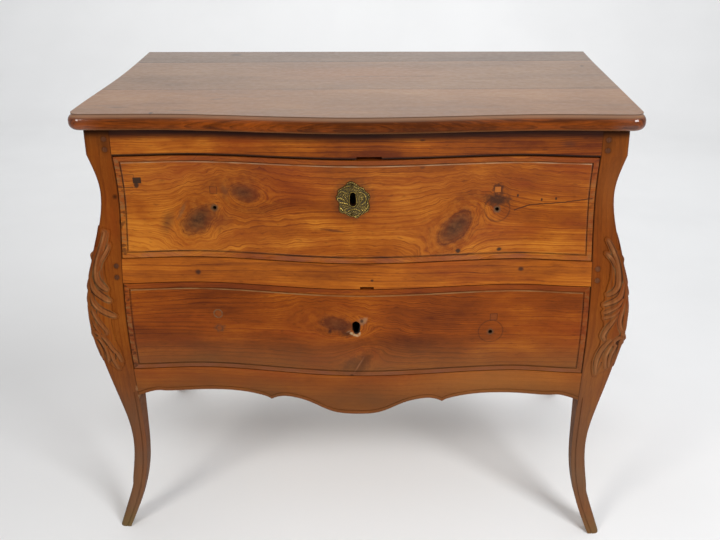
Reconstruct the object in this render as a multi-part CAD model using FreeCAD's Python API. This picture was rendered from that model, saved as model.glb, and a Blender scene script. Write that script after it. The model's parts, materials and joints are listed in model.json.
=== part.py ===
import FreeCAD, Part
import os

# Bombe chest of two drawers in cherry. Millimetres, +Z up, front to -Y,
# origin on the floor under the middle of the top.

V = FreeCAD.Vector

# Overall sizes, and a length that reaches past everything for the cutting shapes
WIDTH = 1000.0
DEPTH = 630.0
HEIGHT = 875.0
TOP_T = 30.0
FAR = WIDTH + DEPTH + HEIGHT
FRONT_EDGE = -DEPTH / 2
BACK_EDGE = DEPTH / 2
UNDER_TOP = HEIGHT - TOP_T

# Top: bowed front edge, sides a little out of true, rounded corners, raised field over a rounded edge.
# The sides' insets are given at the front corner, the middle and the back, the seams at both ends.
TOP_CORNER_Y = FRONT_EDGE + 24.0
TOP_HOLLOW = (WIDTH / 2 - 160.0, FRONT_EDGE + 27.0)
TOP_CORNER_R = 24.0
TOP_LEFT_IN = (2.0, 9.0, 2.0)
TOP_RIGHT_IN = (0.0, 0.0, -2.0)
TOP_SIDE_Y = FRONT_EDGE + 335.0
TOP_FIELD_STEP = 2.0
TOP_FIELD_INSET = 5.0
TOP_FIELD_BED = 6.0
TOP_NOSE_R = 12.0
FRONT_SEAM = (FRONT_EDGE + 226.0, FRONT_EDGE + 237.0)
REAR_SEAM = (BACK_EDGE - 131.0, BACK_EDGE - 107.0)
TONGUE_T = 8.0
TONGUE_L = 9.0
TONGUE_END = 60.0

# Heights of the rails and the drawer openings, from the top down
TOP_RAIL_H = 51.0
UPPER_OPEN_H = 195.0
MID_RAIL_H = 45.0
LOWER_OPEN_H = 185.0
BLOCK_Z = UNDER_TOP - TOP_RAIL_H
UPPER_Z = BLOCK_Z - UPPER_OPEN_H
MID_RAIL_Z = UPPER_Z - MID_RAIL_H
LOWER_Z = MID_RAIL_Z - LOWER_OPEN_H

# Posts: outer faces under the top's overhang, inner faces at the drawer openings
SIDE_OVERHANG = 20.0
FRONT_OVERHANG = 54.0
BACK_OVERHANG = 2.0
POST_W = 49.0
POST_D = 51.0
REAR_POST_D = 50.0
POST_X = WIDTH / 2 - SIDE_OVERHANG
OPEN_X = POST_X - POST_W
FRONT_Y = FRONT_EDGE + FRONT_OVERHANG
POST_BACK = FRONT_Y + POST_D
REAR_POST_BACK = BACK_EDGE - BACK_OVERHANG
REAR_POST_FRONT = REAR_POST_BACK - REAR_POST_D
CORNER_STEP = 21.0
CORNER_RUN = 4
CORNER_DEEP = 120.0

# Legs as drawn for this height under the lower drawer: a longer or shorter leg stretches the drawing
LEG_DRAWN_H = 369.0
LEG_STRETCH = LOWER_Z / LEG_DRAWN_H

# Swelling outline shared by the front and the sides: inward offset at each height
SWELL = [(0.0, BLOCK_Z), (13.0, BLOCK_Z - 68.0), (-4.0, UPPER_Z + 15.0), (-22.0, MID_RAIL_Z - 60.0),
         (-15.0, LOWER_Z + 41.0), (9.0, 274.0 * LEG_STRETCH), (18.5, 155.0 * LEG_STRETCH),
         (11.5, 94.0 * LEG_STRETCH), (-15.0, 0.0)]

# How far the inner faces of a leg leave the post's faces on the way down
LEG_SHAPE = [(0.0, 210.0 * LEG_STRETCH), (6.0, 108.0 * LEG_STRETCH), (19.0, 55.0 * LEG_STRETCH), (41.0, 0.0)]
REAR_LEG_SHAPE = [(0.0, 300.0 * LEG_STRETCH), (12.0, 160.0 * LEG_STRETCH), (26.0, 0.0)]

# Front in plan between the posts
HOLLOW = (OPEN_X - 111.0, 10.0)
CREST_OUT = 20.0

# Joints of the frame
TENON_T = 14.0
TENON_L = 34.0
TENON_SHOULDER = 5.0
TENON_Y = FRONT_Y + 21.0
APRON_TENON_H = 55.0
PEG_R = 4.5
PEG_L = 24.0
PEG_X = OPEN_X + 11.0
PEG_Z = [BLOCK_Z + 11.0, BLOCK_Z + 30.0, MID_RAIL_Z + 11.0, MID_RAIL_Z + 32.0]
PEG_FIT = 0.05
DOWEL_R = 5.0
DOWEL_L = 44.0
DOWEL_DOWN = 28.0
DOWEL_X = POST_X - 24.0

# Apron's lower edge, from the middle to the post
APRON_BLANK_H = 169.0
APRON_LOBE = [(0.0, LOWER_Z - 93.0), (50.0, LOWER_Z - 87.0), (90.0, LOWER_Z - 68.0), (125.0, LOWER_Z - 59.0),
              (167.0, LOWER_Z - 69.0)]
APRON_WING = [APRON_LOBE[-1], (190.0, LOWER_Z - 60.0), (225.0, LOWER_Z - 55.0),
              (OPEN_X - 51.0, LOWER_Z - 55.0), (OPEN_X, LOWER_Z - 65.0)]

# Side panels: lower edge by its share of the way from the front post to the rear one
PANEL_T = 20.0
PANEL_TONGUE_L = 8.0
PANEL_TONGUE_IN = 6.0
PANEL_EDGE = [(0.0, LOWER_Z - 63.0), (0.13, LOWER_Z - 56.0), (0.5, LOWER_Z - 77.0), (0.87, LOWER_Z - 56.0),
              (1.0, LOWER_Z - 63.0)]
CUT_OVER = 20.0

# Back
BACK_RAIL_T = 24.0
BACK_RAIL_H = 50.0
BACK_RAIL_Y = REAR_POST_BACK - BACK_RAIL_T
BACK_TENON_Y = BACK_RAIL_Y + 5.0
BACK_LOW_Z = LOWER_Z - 55.0
BACK_BOARD_T = 12.0
BACK_BOARD_IN = 8.0
BACK_BOARD_Y = BACK_RAIL_Y + 6.0
BACK_BOARDS = 3

# Runners, guides, kickers and stops
RUNNER_W = 50.0
LOWER_RUNNER_H = 40.0
GUIDE_W = 20.0
GUIDE_H = 22.0
KICKER = 30.0
STUB = 14.0
STUB_L = 18.0
KICK_STUB_L = 5.5
STOP_L = 19.0
STOP_W = 24.0
STOP_H = 25.0

# Drawers
RUN_GAP = 0.5
UPPER_TOP_GAP = 3.0
LOWER_TOP_GAP = 1.5
FRONT_LIFT = 1.5
SIDE_GAP = 1.5
SIDE_T = 12.0
SIDE_DROP = 6.0
DRAWER_END = REAR_POST_FRONT - 20.0
STOP_GAP = 0.5
TAILS = 3
TAIL_ROOT = 15.0
TAIL_TIP = 20.0
TAIL_L = 18.0
BOTTOM_T = 8.0
BOTTOM_RAISE = 12.0
GROOVE_IN = 6.0
GROOVE_FIT = 0.5
UPPER_FRONT_BACK = FRONT_Y + 43.0
LOWER_FRONT_BACK = FRONT_Y + 23.0
NAILS = 5
NAIL_END = 77.5
NAIL_R = 1.5
NAIL_L = 26.0
NAIL_HEAD_R = 3.2
NAIL_HEAD_T = 1.2

# Scratched beads: round the drawer fronts, along the apron and down the legs
BEAD_W = 9.0
BEAD_GROOVE = 3.0
BEAD_DEEP = 1.6
EDGE_BEAD = 7.0
EDGE_GROOVE = 2.4
EDGE_DEEP = 1.2

# Keyholes: middle of each, radius at the top and the bottom, half the height
UPPER_KEY = (-3.0, BLOCK_Z - 77.0)
LOWER_KEY = (2.0, MID_RAIL_Z - 74.0)
UPPER_KEYHOLE = (4.5, 5.2, 12.0)
LOWER_KEYHOLE = (7.0, 5.0, 11.5)

# Old pulls: a plugged hole above an open or a filled one
PULL_X = 257.5
PLUG = 11.0
PLUG_L = 18.0
UPPER_PLUG_Z = (UPPER_KEY[1] + 6.5, UPPER_KEY[1] + 10.0)
LOWER_PLUG_Z = (LOWER_KEY[1] + 12.0, LOWER_KEY[1] + 10.0)
FILLED = (-PULL_X, LOWER_KEY[1] - 19.0)
FILLED_R = 4.5
UPPER_OPEN = [(-PULL_X, UPPER_KEY[1] - 27.0), (PULL_X, UPPER_KEY[1] - 27.0)]
LOWER_OPEN = [(PULL_X - 5.0, LOWER_KEY[1] - 21.0)]
PULL_HOLE_R = 3.6

# Locks
LOCK_W = 90.0
LOCK_H = 112.0
LOCK_T = 2.5
CAP_W = 76.0
CAP_H = 104.0
CAP_T = 18.0
CAP_WALL = 1.5
SELVAGE_D = 20.0
BOLT_W = 32.0
BOLT_T = 7.0
BOLT_H = 67.0
BOLT_SET = 4.5
BOLT_FIT = 0.5
BOLT_TRAVEL = 10.0
BOLT_MORTISE_FIT = 2.0
BOLT_MORTISE_OVER = 3.0
SLOT_OVER = 5.0
LOCK_SCREW_R = 2.0
LOCK_SCREW_HEAD_R = 3.6
LOCK_SCREW_L = 14.0
LOCK_SCREW_IN = 4.0
LOCK_SCREW_Z = (8.0, LOCK_H - 5.0)

# Worn notches under the rails over the keyholes: left end, right end, depth behind the posts' front, height
UPPER_NOTCH = (5.0, 49.0, -4.0, 4.0)
LOWER_NOTCH = (10.0, 35.0, -20.0, 4.0)

# Escutcheon: half outline round its middle, from the point at the top to the shell below
ESCUTCHEON_T = 3.0
ESCUTCHEON = [(0.0, 36.0), (14.0, 30.0), (21.0, 18.0), (31.0, 10.0), (27.0, -4.0), (29.0, -15.0),
              (19.0, -24.0), (13.0, -33.0), (0.0, -37.0)]
PIN_R = 1.2
PIN_L = 12.0
PIN_HEAD_R = 2.2
PIN_Z = 27.0
PIN_SEAT = 10.0


def box(x0, x1, y0, y1, z0, z1):
    """A block between two opposite corners."""
    return Part.makeBox(x1 - x0, y1 - y0, z1 - z0, V(x0, y0, z0))


def joined(shapes):
    """One clean solid out of several that touch or overlap."""
    first = shapes[0]
    return first.fuse(shapes[1:]).removeSplitter()


def one(shape):
    """The only solid of a shape."""
    return max(shape.Solids, key=lambda s: s.Volume)


def mirrored(shape):
    """The same piece on the other side of the chest."""
    return shape.mirror(V(0, 0, 0), V(1, 0, 0))


def through(points, start=None, end=None):
    """A smooth curve through a few points."""
    curve = Part.BSplineCurve()
    if start is None:
        curve.interpolate(Points=points)
    else:
        curve.interpolate(Points=points, InitialTangent=start, FinalTangent=end)
    return curve


def moved(curve, rule):
    """A curve with the same knots and each pole moved by a rule."""
    copy = Part.BSplineCurve()
    copy.buildFromPolesMultsKnots([rule(p) for p in curve.getPoles()], curve.getMultiplicities(),
                                  curve.getKnots(), False, curve.Degree)
    return copy


def region(edges):
    """A flat face inside a closed ring of edges."""
    return Part.Face(Part.Wire(Part.__sortEdges__(edges)))


def line(a, b):
    """A straight edge."""
    return Part.makeLine(a, b)


def polygon(points):
    """A flat face inside straight sides."""
    return Part.Face(Part.makePolygon(points + [points[0]]))


SWELL_CURVE = through([V(0, a, z) for a, z in SWELL], V(0, 0.25, -1), V(0, -0.33, -1))
PLAN_POINTS = [(-OPEN_X, 0.0), (-HOLLOW[0], HOLLOW[1]), (0.0, -CREST_OUT), (HOLLOW[0], HOLLOW[1]),
               (OPEN_X, 0.0)]
PLAN_CURVE = through([V(x, a, 0) for x, a in PLAN_POINTS], V(1, 0.04, 0), V(1, -0.04, 0))


def swelling_front(lead=0.0):
    """Everything behind the swelling front between the posts, the front moved forward by lead."""
    poles = []
    for a in PLAN_CURVE.getPoles():
        poles.append([V(a.x, FRONT_Y - lead + a.y + b.y, b.z) for b in SWELL_CURVE.getPoles()])
    surface = Part.BSplineSurface()
    surface.buildFromPolesMultsKnots(poles, PLAN_CURVE.getMultiplicities(), SWELL_CURVE.getMultiplicities(),
                                     PLAN_CURVE.getKnots(), SWELL_CURVE.getKnots(), False, False,
                                     PLAN_CURVE.Degree, SWELL_CURVE.Degree)
    solid = surface.toShape().extrude(V(0, DEPTH, 0))
    if solid.Volume < 0:
        solid.reverse()
    return solid


def straight_front():
    """Everything behind the upright part of the front, above the swelling."""
    front = moved(PLAN_CURVE, lambda p: V(p.x, FRONT_Y + p.y, BLOCK_Z))
    a = V(-OPEN_X, FRONT_Y, BLOCK_Z)
    b = V(OPEN_X, FRONT_Y, BLOCK_Z)
    c = V(OPEN_X, POST_BACK, BLOCK_Z)
    d = V(-OPEN_X, POST_BACK, BLOCK_Z)
    return region([front.toShape(), line(b, c), line(c, d), line(d, a)]).extrude(V(0, 0, TOP_RAIL_H))


FRONT = swelling_front()


def front_slice(half, z0, z1, back):
    """The shaped front between two heights, cut flat at the ends and at the back."""
    return one(FRONT.common(box(-half, half, -FAR, back, z0, z1)))


def side_curve(inset, y):
    """The swelling outline of the right side, moved inward."""
    return moved(SWELL_CURVE, lambda p: V(POST_X - inset - p.y, y, p.z))


def top_outline(inset, z):
    """The top seen from above, its front and side edges moved inward."""
    corner = TOP_CORNER_R - inset / 2
    front_y = TOP_CORNER_Y + inset
    edges = []
    nose_ends = []
    back_ends = []
    for s, insets in ((-1, TOP_LEFT_IN), (1, TOP_RIGHT_IN)):
        front_x, middle_x, back_x = [s * (WIDTH / 2 - w - inset) for w in insets]
        side = [V(front_x, front_y + corner, z), V(middle_x, TOP_SIDE_Y, z), V(back_x, BACK_EDGE, z)]
        edges.append(through(side, V(0, 1, 0), V(s * 0.03, 1, 0)).toShape())
        k = corner * (1 - 0.70711)
        nose_end = V(front_x - s * corner, front_y, z)
        edges.append(Part.Arc(nose_end, V(front_x - s * k, front_y + k, z), side[0]).toShape())
        nose_ends.append(nose_end)
        back_ends.append(side[2])
    hollow = TOP_HOLLOW[1] + inset
    nose = [nose_ends[0], V(-TOP_HOLLOW[0], hollow, z), V(0, FRONT_EDGE + inset, z),
            V(TOP_HOLLOW[0], hollow, z), nose_ends[1]]
    edges.append(through(nose, V(1, 0, 0), V(1, 0, 0)).toShape())
    edges.append(line(back_ends[0], back_ends[1]))
    return region(edges)


def whole_top():
    """The top in one piece: raised field over a rounded edge."""
    low = HEIGHT - TOP_FIELD_STEP
    slab = top_outline(0.0, UNDER_TOP).extrude(V(0, 0, low - UNDER_TOP))
    rim = []
    for e in slab.Edges:
        flat = abs(e.BoundBox.ZLength) < 0.01
        at_back = e.BoundBox.YMin > BACK_EDGE - 0.01
        if flat and not at_back:
            rim.append(e)
    slab = slab.makeFillet(TOP_NOSE_R, rim)
    field = top_outline(TOP_FIELD_INSET, low - TOP_FIELD_BED)
    field = field.extrude(V(0, 0, TOP_FIELD_STEP + TOP_FIELD_BED))
    return joined([slab, field])


def across(seam, half, near, far, z0, z1):
    """A block along a slanting seam of the top, between two distances from the seam."""
    slope = (seam[1] - seam[0]) / WIDTH
    middle = (seam[0] + seam[1]) / 2
    left = middle - slope * half
    right = middle + slope * half
    corners = [V(-half, left + near, z0), V(half, right + near, z0), V(half, right + far, z0),
               V(-half, left + far, z0)]
    return polygon(corners).extrude(V(0, 0, z1 - z0))


def top_boards():
    """The three boards of the top with their blind tongues."""
    top = whole_top()
    low = (HEIGHT + UNDER_TOP - TONGUE_T) / 2
    half = WIDTH / 2 - TONGUE_END
    seams = (FRONT_SEAM, REAR_SEAM)
    before = [across(seam, FAR, -FAR, 0.0, 0.0, FAR) for seam in seams]
    tongues = [across(seam, half, -TONGUE_L, 0.0, low, low + TONGUE_T) for seam in seams]
    grooves = [across(seam, half, -TONGUE_L - 1, 0.0, low, low + TONGUE_T) for seam in seams]
    front = top.common(before[0]).cut(grooves[0])
    middle = top.common(before[1]).cut([before[0], grooves[1]])
    middle = joined([middle, tongues[0]])
    rear = joined([top.cut(before[1]), tongues[1]])
    return one(front), one(middle), one(rear)


def corner_curve(z):
    """The rounded outer corner of a right front post in plan, from its front face to its side face."""
    steps = [i * CORNER_STEP for i in range(CORNER_RUN, 0, -1)]
    poles = [V(POST_X - a, FRONT_Y, z) for a in steps]
    poles.append(V(POST_X, FRONT_Y, z))
    poles += [V(POST_X, FRONT_Y + a, z) for a in reversed(steps)]
    curve = Part.BSplineCurve()
    spans = len(poles) - 3
    curve.buildFromPolesMultsKnots(poles, [4] + [1] * (spans - 1) + [4], list(range(spans + 1)), False, 3)
    return curve


def swelling_corner():
    """Everything behind the front and inside the side of a right front post, with the corner rounded."""
    plan = corner_curve(0.0)
    poles = []
    for a in plan.getPoles():
        poles.append([V(a.x - b.y, a.y + b.y, b.z) for b in SWELL_CURVE.getPoles()])
    surface = Part.BSplineSurface()
    surface.buildFromPolesMultsKnots(poles, plan.getMultiplicities(), SWELL_CURVE.getMultiplicities(),
                                     plan.getKnots(), SWELL_CURVE.getKnots(), False, False,
                                     plan.Degree, SWELL_CURVE.Degree)
    solid = surface.toShape().extrude(V(-CORNER_DEEP, CORNER_DEEP, 0))
    if solid.Volume < 0:
        solid.reverse()
    reach = CORNER_RUN * CORNER_STEP
    front_end = V(POST_X - reach, FRONT_Y, BLOCK_Z)
    side_end = V(POST_X, FRONT_Y + reach, BLOCK_Z)
    inside = V(POST_X - reach, FRONT_Y + reach, BLOCK_Z)
    block = region([corner_curve(BLOCK_Z).toShape(), line(side_end, inside), line(inside, front_end)])
    return solid, block.extrude(V(0, 0, TOP_RAIL_H))


def inside_leg():
    """All that lies outward of a post's inner face and leg, as seen from the front."""
    y = -FAR
    inner = through([V(OPEN_X + d, y, z) for d, z in LEG_SHAPE], V(0, 0, -1), V(0.45, 0, -1))
    start = V(OPEN_X, y, LEG_SHAPE[0][1])
    in_top = V(OPEN_X, y, UNDER_TOP)
    foot_in = V(OPEN_X + LEG_SHAPE[-1][0], y, 0)
    edges = [line(V(FAR, y, UNDER_TOP), V(FAR, y, 0)), line(V(FAR, y, 0), foot_in), inner.toShape(),
             line(start, in_top), line(in_top, V(FAR, y, UNDER_TOP))]
    return region(edges).extrude(V(0, 2 * FAR, 0))


def before_leg():
    """All that lies forward of a front post's back face and leg, as seen from the side."""
    far = -FAR
    back = through([V(0, POST_BACK - d, z) for d, z in LEG_SHAPE], V(0, 0, -1), V(0, -0.45, -1))
    start = V(0, POST_BACK, LEG_SHAPE[0][1])
    top_back = V(0, POST_BACK, UNDER_TOP)
    foot_back = V(0, POST_BACK - LEG_SHAPE[-1][0], 0)
    edges = [line(V(0, far, UNDER_TOP), V(0, far, 0)), line(V(0, far, 0), foot_back), back.toShape(),
             line(start, top_back), line(top_back, V(0, far, UNDER_TOP))]
    return region(edges).extrude(V(FAR, 0, 0))


def front_elevation():
    """A right post with its leg as seen from the front, cut through the whole depth."""
    y = -FAR
    out_top = V(POST_X, y, UNDER_TOP)
    out_block = V(POST_X, y, BLOCK_Z)
    outer = side_curve(0.0, y)
    inner = through([V(OPEN_X + d, y, z) for d, z in LEG_SHAPE], V(0, 0, -1), V(0.45, 0, -1))
    start = V(OPEN_X, y, LEG_SHAPE[0][1])
    in_top = V(OPEN_X, y, UNDER_TOP)
    foot_in = V(OPEN_X + LEG_SHAPE[-1][0], y, 0)
    foot_out = V(POST_X - SWELL[-1][0], y, 0)
    edges = [line(out_top, out_block), outer.toShape(), line(foot_out, foot_in), inner.toShape(),
             line(start, in_top), line(in_top, out_top)]
    return region(edges).extrude(V(0, 2 * FAR, 0))


def behind_front():
    """All that lies behind the front faces of the posts, as seen from the side."""
    back = 0.0
    front = moved(SWELL_CURVE, lambda p: V(0, FRONT_Y + p.y, p.z))
    top_front = V(0, FRONT_Y, UNDER_TOP)
    block = V(0, FRONT_Y, BLOCK_Z)
    foot_front = V(0, FRONT_Y + SWELL[-1][0], 0)
    edges = [line(top_front, block), front.toShape(), line(foot_front, V(0, back, 0)),
             line(V(0, back, 0), V(0, back, UNDER_TOP)), line(V(0, back, UNDER_TOP), top_front)]
    return region(edges).extrude(V(FAR, 0, 0))


def side_elevation_rear():
    """A rear post with its leg as seen from the side: flat to the wall, tapered in front."""
    x = 0.0
    taper = through([V(x, REAR_POST_FRONT + d, z) for d, z in REAR_LEG_SHAPE], V(0, 0, -1), V(0, 0.1, -1))
    top_front = V(x, REAR_POST_FRONT, UNDER_TOP)
    start = V(x, REAR_POST_FRONT, REAR_LEG_SHAPE[0][1])
    foot_front = V(x, REAR_POST_FRONT + REAR_LEG_SHAPE[-1][0], 0)
    foot_back = V(x, REAR_POST_BACK, 0)
    top_back = V(x, REAR_POST_BACK, UNDER_TOP)
    edges = [line(top_front, start), taper.toShape(), line(foot_front, foot_back), line(foot_back, top_back),
             line(top_back, top_front)]
    return region(edges).extrude(V(FAR, 0, 0))


def rounded_post():
    """The right front post with its leg, its outer corner rounded from the top to the foot."""
    swelling, block = swelling_corner()
    limits = inside_leg().common(before_leg())
    return one(joined([one(limits.common(swelling)), one(limits.common(block))]))


def rail_tenons(z0, z1, y):
    """Tenons at both ends of a front rail."""
    ends = []
    for s in (-1, 1):
        x0, x1 = sorted((s * OPEN_X, s * (OPEN_X + TENON_L)))
        ends.append(box(x0, x1, y, y + TENON_T, z0 + TENON_SHOULDER, z1 - TENON_SHOULDER))
    return ends


def below_apron():
    """All that is sawn away under the apron's shaped edge."""
    y = -FAR
    edges = []
    for s in (-1, 1):
        lobe = [V(s * x, y, z) for x, z in APRON_LOBE]
        wing = [V(s * x, y, z) for x, z in APRON_WING]
        edges.append(through(lobe, V(s, 0, 0), V(s, 0, -0.7)).toShape())
        edges.append(through(wing, V(s * 0.7, 0, 0.6), V(s, 0, -0.4)).toShape())
        edges.append(line(wing[-1], V(s * OPEN_X, y, 0)))
    edges.append(line(V(-OPEN_X, y, 0), V(OPEN_X, y, 0)))
    return region(edges).extrude(V(0, FAR, 0))


def apron_bead():
    """The groove that sets off the bead along the apron's lower edge."""
    upper = below_apron()
    lower = below_apron()
    upper.translate(V(0, 0, EDGE_BEAD + EDGE_GROOVE))
    lower.translate(V(0, 0, EDGE_BEAD))
    return upper.cut(lower).cut(swelling_front(-EDGE_DEEP))


def leg_bead():
    """The groove that sets off the bead down the inner edge of a right front leg."""
    y = -FAR
    ends = []
    edges = []
    for shift in (EDGE_BEAD, EDGE_BEAD + EDGE_GROOVE):
        edge = through([V(OPEN_X + d + shift, y, z) for d, z in LEG_SHAPE], V(0, 0, -1), V(0.45, 0, -1))
        high = V(OPEN_X + shift, y, APRON_WING[-1][1] + EDGE_BEAD)
        edges.append(edge.toShape())
        edges.append(line(edge.getPoles()[0], high))
        ends.append((high, edge.getPoles()[-1]))
    edges.append(line(ends[0][0], ends[1][0]))
    edges.append(line(ends[0][1], ends[1][1]))
    deep = behind_front()
    deep.translate(V(0, EDGE_DEEP, 0))
    return region(edges).extrude(V(0, FAR, 0)).cut(deep)


def side_slab(inset, thick, y0, y1):
    """A curved board of the right side between two depths."""
    top_out = V(POST_X - inset, y0, UNDER_TOP)
    block_out = V(POST_X - inset, y0, BLOCK_Z)
    top_in = V(POST_X - inset - thick, y0, UNDER_TOP)
    block_in = V(POST_X - inset - thick, y0, BLOCK_Z)
    outer = side_curve(inset, y0)
    inner = side_curve(inset + thick, y0)
    foot_out = outer.getPoles()[-1]
    foot_in = inner.getPoles()[-1]
    edges = [line(top_out, block_out), outer.toShape(), line(foot_out, foot_in), inner.toShape(),
             line(block_in, top_in), line(top_in, top_out)]
    return region(edges).extrude(V(0, y1 - y0, 0))


def below_panel():
    """All that is sawn away under a side panel's shaped edge."""
    run = REAR_POST_FRONT - POST_BACK
    points = [V(0, POST_BACK + run * t, z) for t, z in PANEL_EDGE]
    a = points[0]
    b = points[-1]
    front_end = a - V(0, CUT_OVER, 0)
    rear_end = b + V(0, CUT_OVER, 0)
    front_low = V(0, front_end.y, -CUT_OVER)
    rear_low = V(0, rear_end.y, -CUT_OVER)
    edges = [through(points).toShape(), line(b, rear_end), line(rear_end, rear_low),
             line(rear_low, front_low), line(front_low, front_end), line(front_end, a)]
    return region(edges).extrude(V(FAR, 0, 0))


def side_panel():
    """The right side panel with its tongues in the posts."""
    field = side_slab(0.0, PANEL_T, POST_BACK, REAR_POST_FRONT)
    thin = PANEL_T - 2 * PANEL_TONGUE_IN
    tongue = side_slab(PANEL_TONGUE_IN, thin, POST_BACK - PANEL_TONGUE_L, REAR_POST_FRONT + PANEL_TONGUE_L)
    panel = joined([field, tongue])
    return one(panel.cut(below_panel()))


def stub(x0, x1, y0, y1, z0, z1):
    """A short tenon at the end of a runner or kicker, centred on the section it stands on."""
    x = (x0 + x1) / 2
    z = (z0 + z1) / 2
    return box(x - STUB / 2, x + STUB / 2, y0, y1, z - STUB / 2, z + STUB / 2)


def runner(z0, z1):
    """A right runner: stub tenons in the rail in front and in the rear post."""
    x0 = OPEN_X + GUIDE_W - RUNNER_W
    x1 = OPEN_X + GUIDE_W
    bar = box(x0, x1, POST_BACK, REAR_POST_FRONT, z0, z1)
    front = stub(x0, OPEN_X, POST_BACK - STUB_L, POST_BACK, z0, z1)
    rear = stub(OPEN_X, x1, REAR_POST_FRONT, REAR_POST_FRONT + STUB_L, z0, z1)
    return joined([bar, front, rear]), front, rear


def guide(z0):
    """A right guide strip on its runner, beside the drawer."""
    return box(OPEN_X, OPEN_X + GUIDE_W, POST_BACK, REAR_POST_FRONT, z0, z0 + GUIDE_H)


def stops(z0):
    """The two blocks behind a drawer, on the runners."""
    x1 = OPEN_X - SIDE_GAP
    y0 = DRAWER_END + STOP_GAP
    right = box(x1 - STOP_W, x1, y0, y0 + STOP_L, z0, z0 + STOP_H)
    return Part.makeCompound([right, mirrored(right)])


def rod(x, y0, y1, z, r):
    """A round rod along the depth."""
    return Part.makeCylinder(r, y1 - y0, V(x, y0, z), V(0, 1, 0))


def keyhole(key, sizes, y0, y1):
    """A keyhole prism: round ends of two different widths and straight sides."""
    x, z = key
    top, bottom, half_h = sizes
    high = rod(x, y0, y1, z + half_h - top, top)
    low = rod(x, y0, y1, z - half_h + bottom, bottom)
    a = z + half_h - top
    b = z - half_h + bottom
    body = polygon([V(x - top, y0, a), V(x + top, y0, a), V(x + bottom, y0, b), V(x - bottom, y0, b)])
    return joined([body.extrude(V(0, y1 - y0, 0)), high, low])


def tails(y_root, y_tip, z0, z1):
    """Dovetails of a right drawer side, spread over its height."""
    x0 = OPEN_X - SIDE_GAP - SIDE_T
    shapes = []
    pitch = (z1 - z0) / TAILS
    for i in range(TAILS):
        z = z0 + (i + 0.5) * pitch
        face = polygon([V(x0, y_root, z - TAIL_ROOT), V(x0, y_root, z + TAIL_ROOT),
                        V(x0, y_tip, z + TAIL_TIP), V(x0, y_tip, z - TAIL_TIP)])
        shapes.append(face.extrude(V(SIDE_T, 0, 0)))
    return shapes


def drawer_bead(half, low, high):
    """The groove that sets off the bead round a drawer front."""
    outer = box(BEAD_W - half, half - BEAD_W, -FAR, 0, low + BEAD_W, high - BEAD_W)
    edge = BEAD_W + BEAD_GROOVE
    inner = box(edge - half, half - edge, -FAR, 0, low + edge, high - edge)
    return outer.cut(inner).cut(swelling_front(-BEAD_DEEP))


def drawer_box(z0, high, back):
    """Front blank, sides, back and bottom of a drawer over an opening's floor, with their joints."""
    half = OPEN_X - SIDE_GAP
    inner = half - SIDE_T
    low = z0 + RUN_GAP
    side_high = high - SIDE_DROP
    back_front = DRAWER_END - SIDE_T
    front_tails = tails(back, back - TAIL_L, low, side_high)
    rear_tails = tails(back_front, DRAWER_END, low, side_high)
    bottom_z = low + BOTTOM_RAISE
    groove_x = inner + GROOVE_IN
    groove = box(-groove_x, groove_x, back - GROOVE_IN, DRAWER_END + 1, bottom_z, bottom_z + BOTTOM_T)
    right = joined([box(inner, half, back, back_front, low, side_high)] + front_tails + rear_tails)
    right = one(right.cut(groove))
    left = mirrored(right)
    front_low = low + FRONT_LIFT
    front = front_slice(half, front_low, high, back)
    front = front.cut(front_tails + [mirrored(t) for t in front_tails] + [groove])
    front = front.cut(drawer_bead(half, front_low, high))
    rear = box(-half, half, back_front, DRAWER_END, bottom_z + BOTTOM_T, side_high)
    rear = one(rear.cut(rear_tails + [mirrored(t) for t in rear_tails]))
    reach = groove_x - GROOVE_FIT
    bottom = box(-reach, reach, back - GROOVE_IN + GROOVE_FIT, DRAWER_END, bottom_z, bottom_z + BOTTOM_T)
    nails = []
    for i in range(NAILS):
        x = (inner - NAIL_END) * (2.0 * i / (NAILS - 1) - 1.0)
        y = DRAWER_END - SIDE_T / 2
        shank = Part.makeCylinder(NAIL_R, NAIL_L, V(x, y, bottom_z))
        head = Part.makeCylinder(NAIL_HEAD_R, NAIL_HEAD_T, V(x, y, bottom_z - NAIL_HEAD_T))
        nails.append(joined([shank, head]))
        hole = Part.makeCylinder(NAIL_R + PEG_FIT, NAIL_L, V(x, y, bottom_z))
        bottom = bottom.cut(hole)
        rear = rear.cut(hole)
    return one(front), left, right, one(rear), one(bottom), Part.makeCompound(nails)


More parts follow.
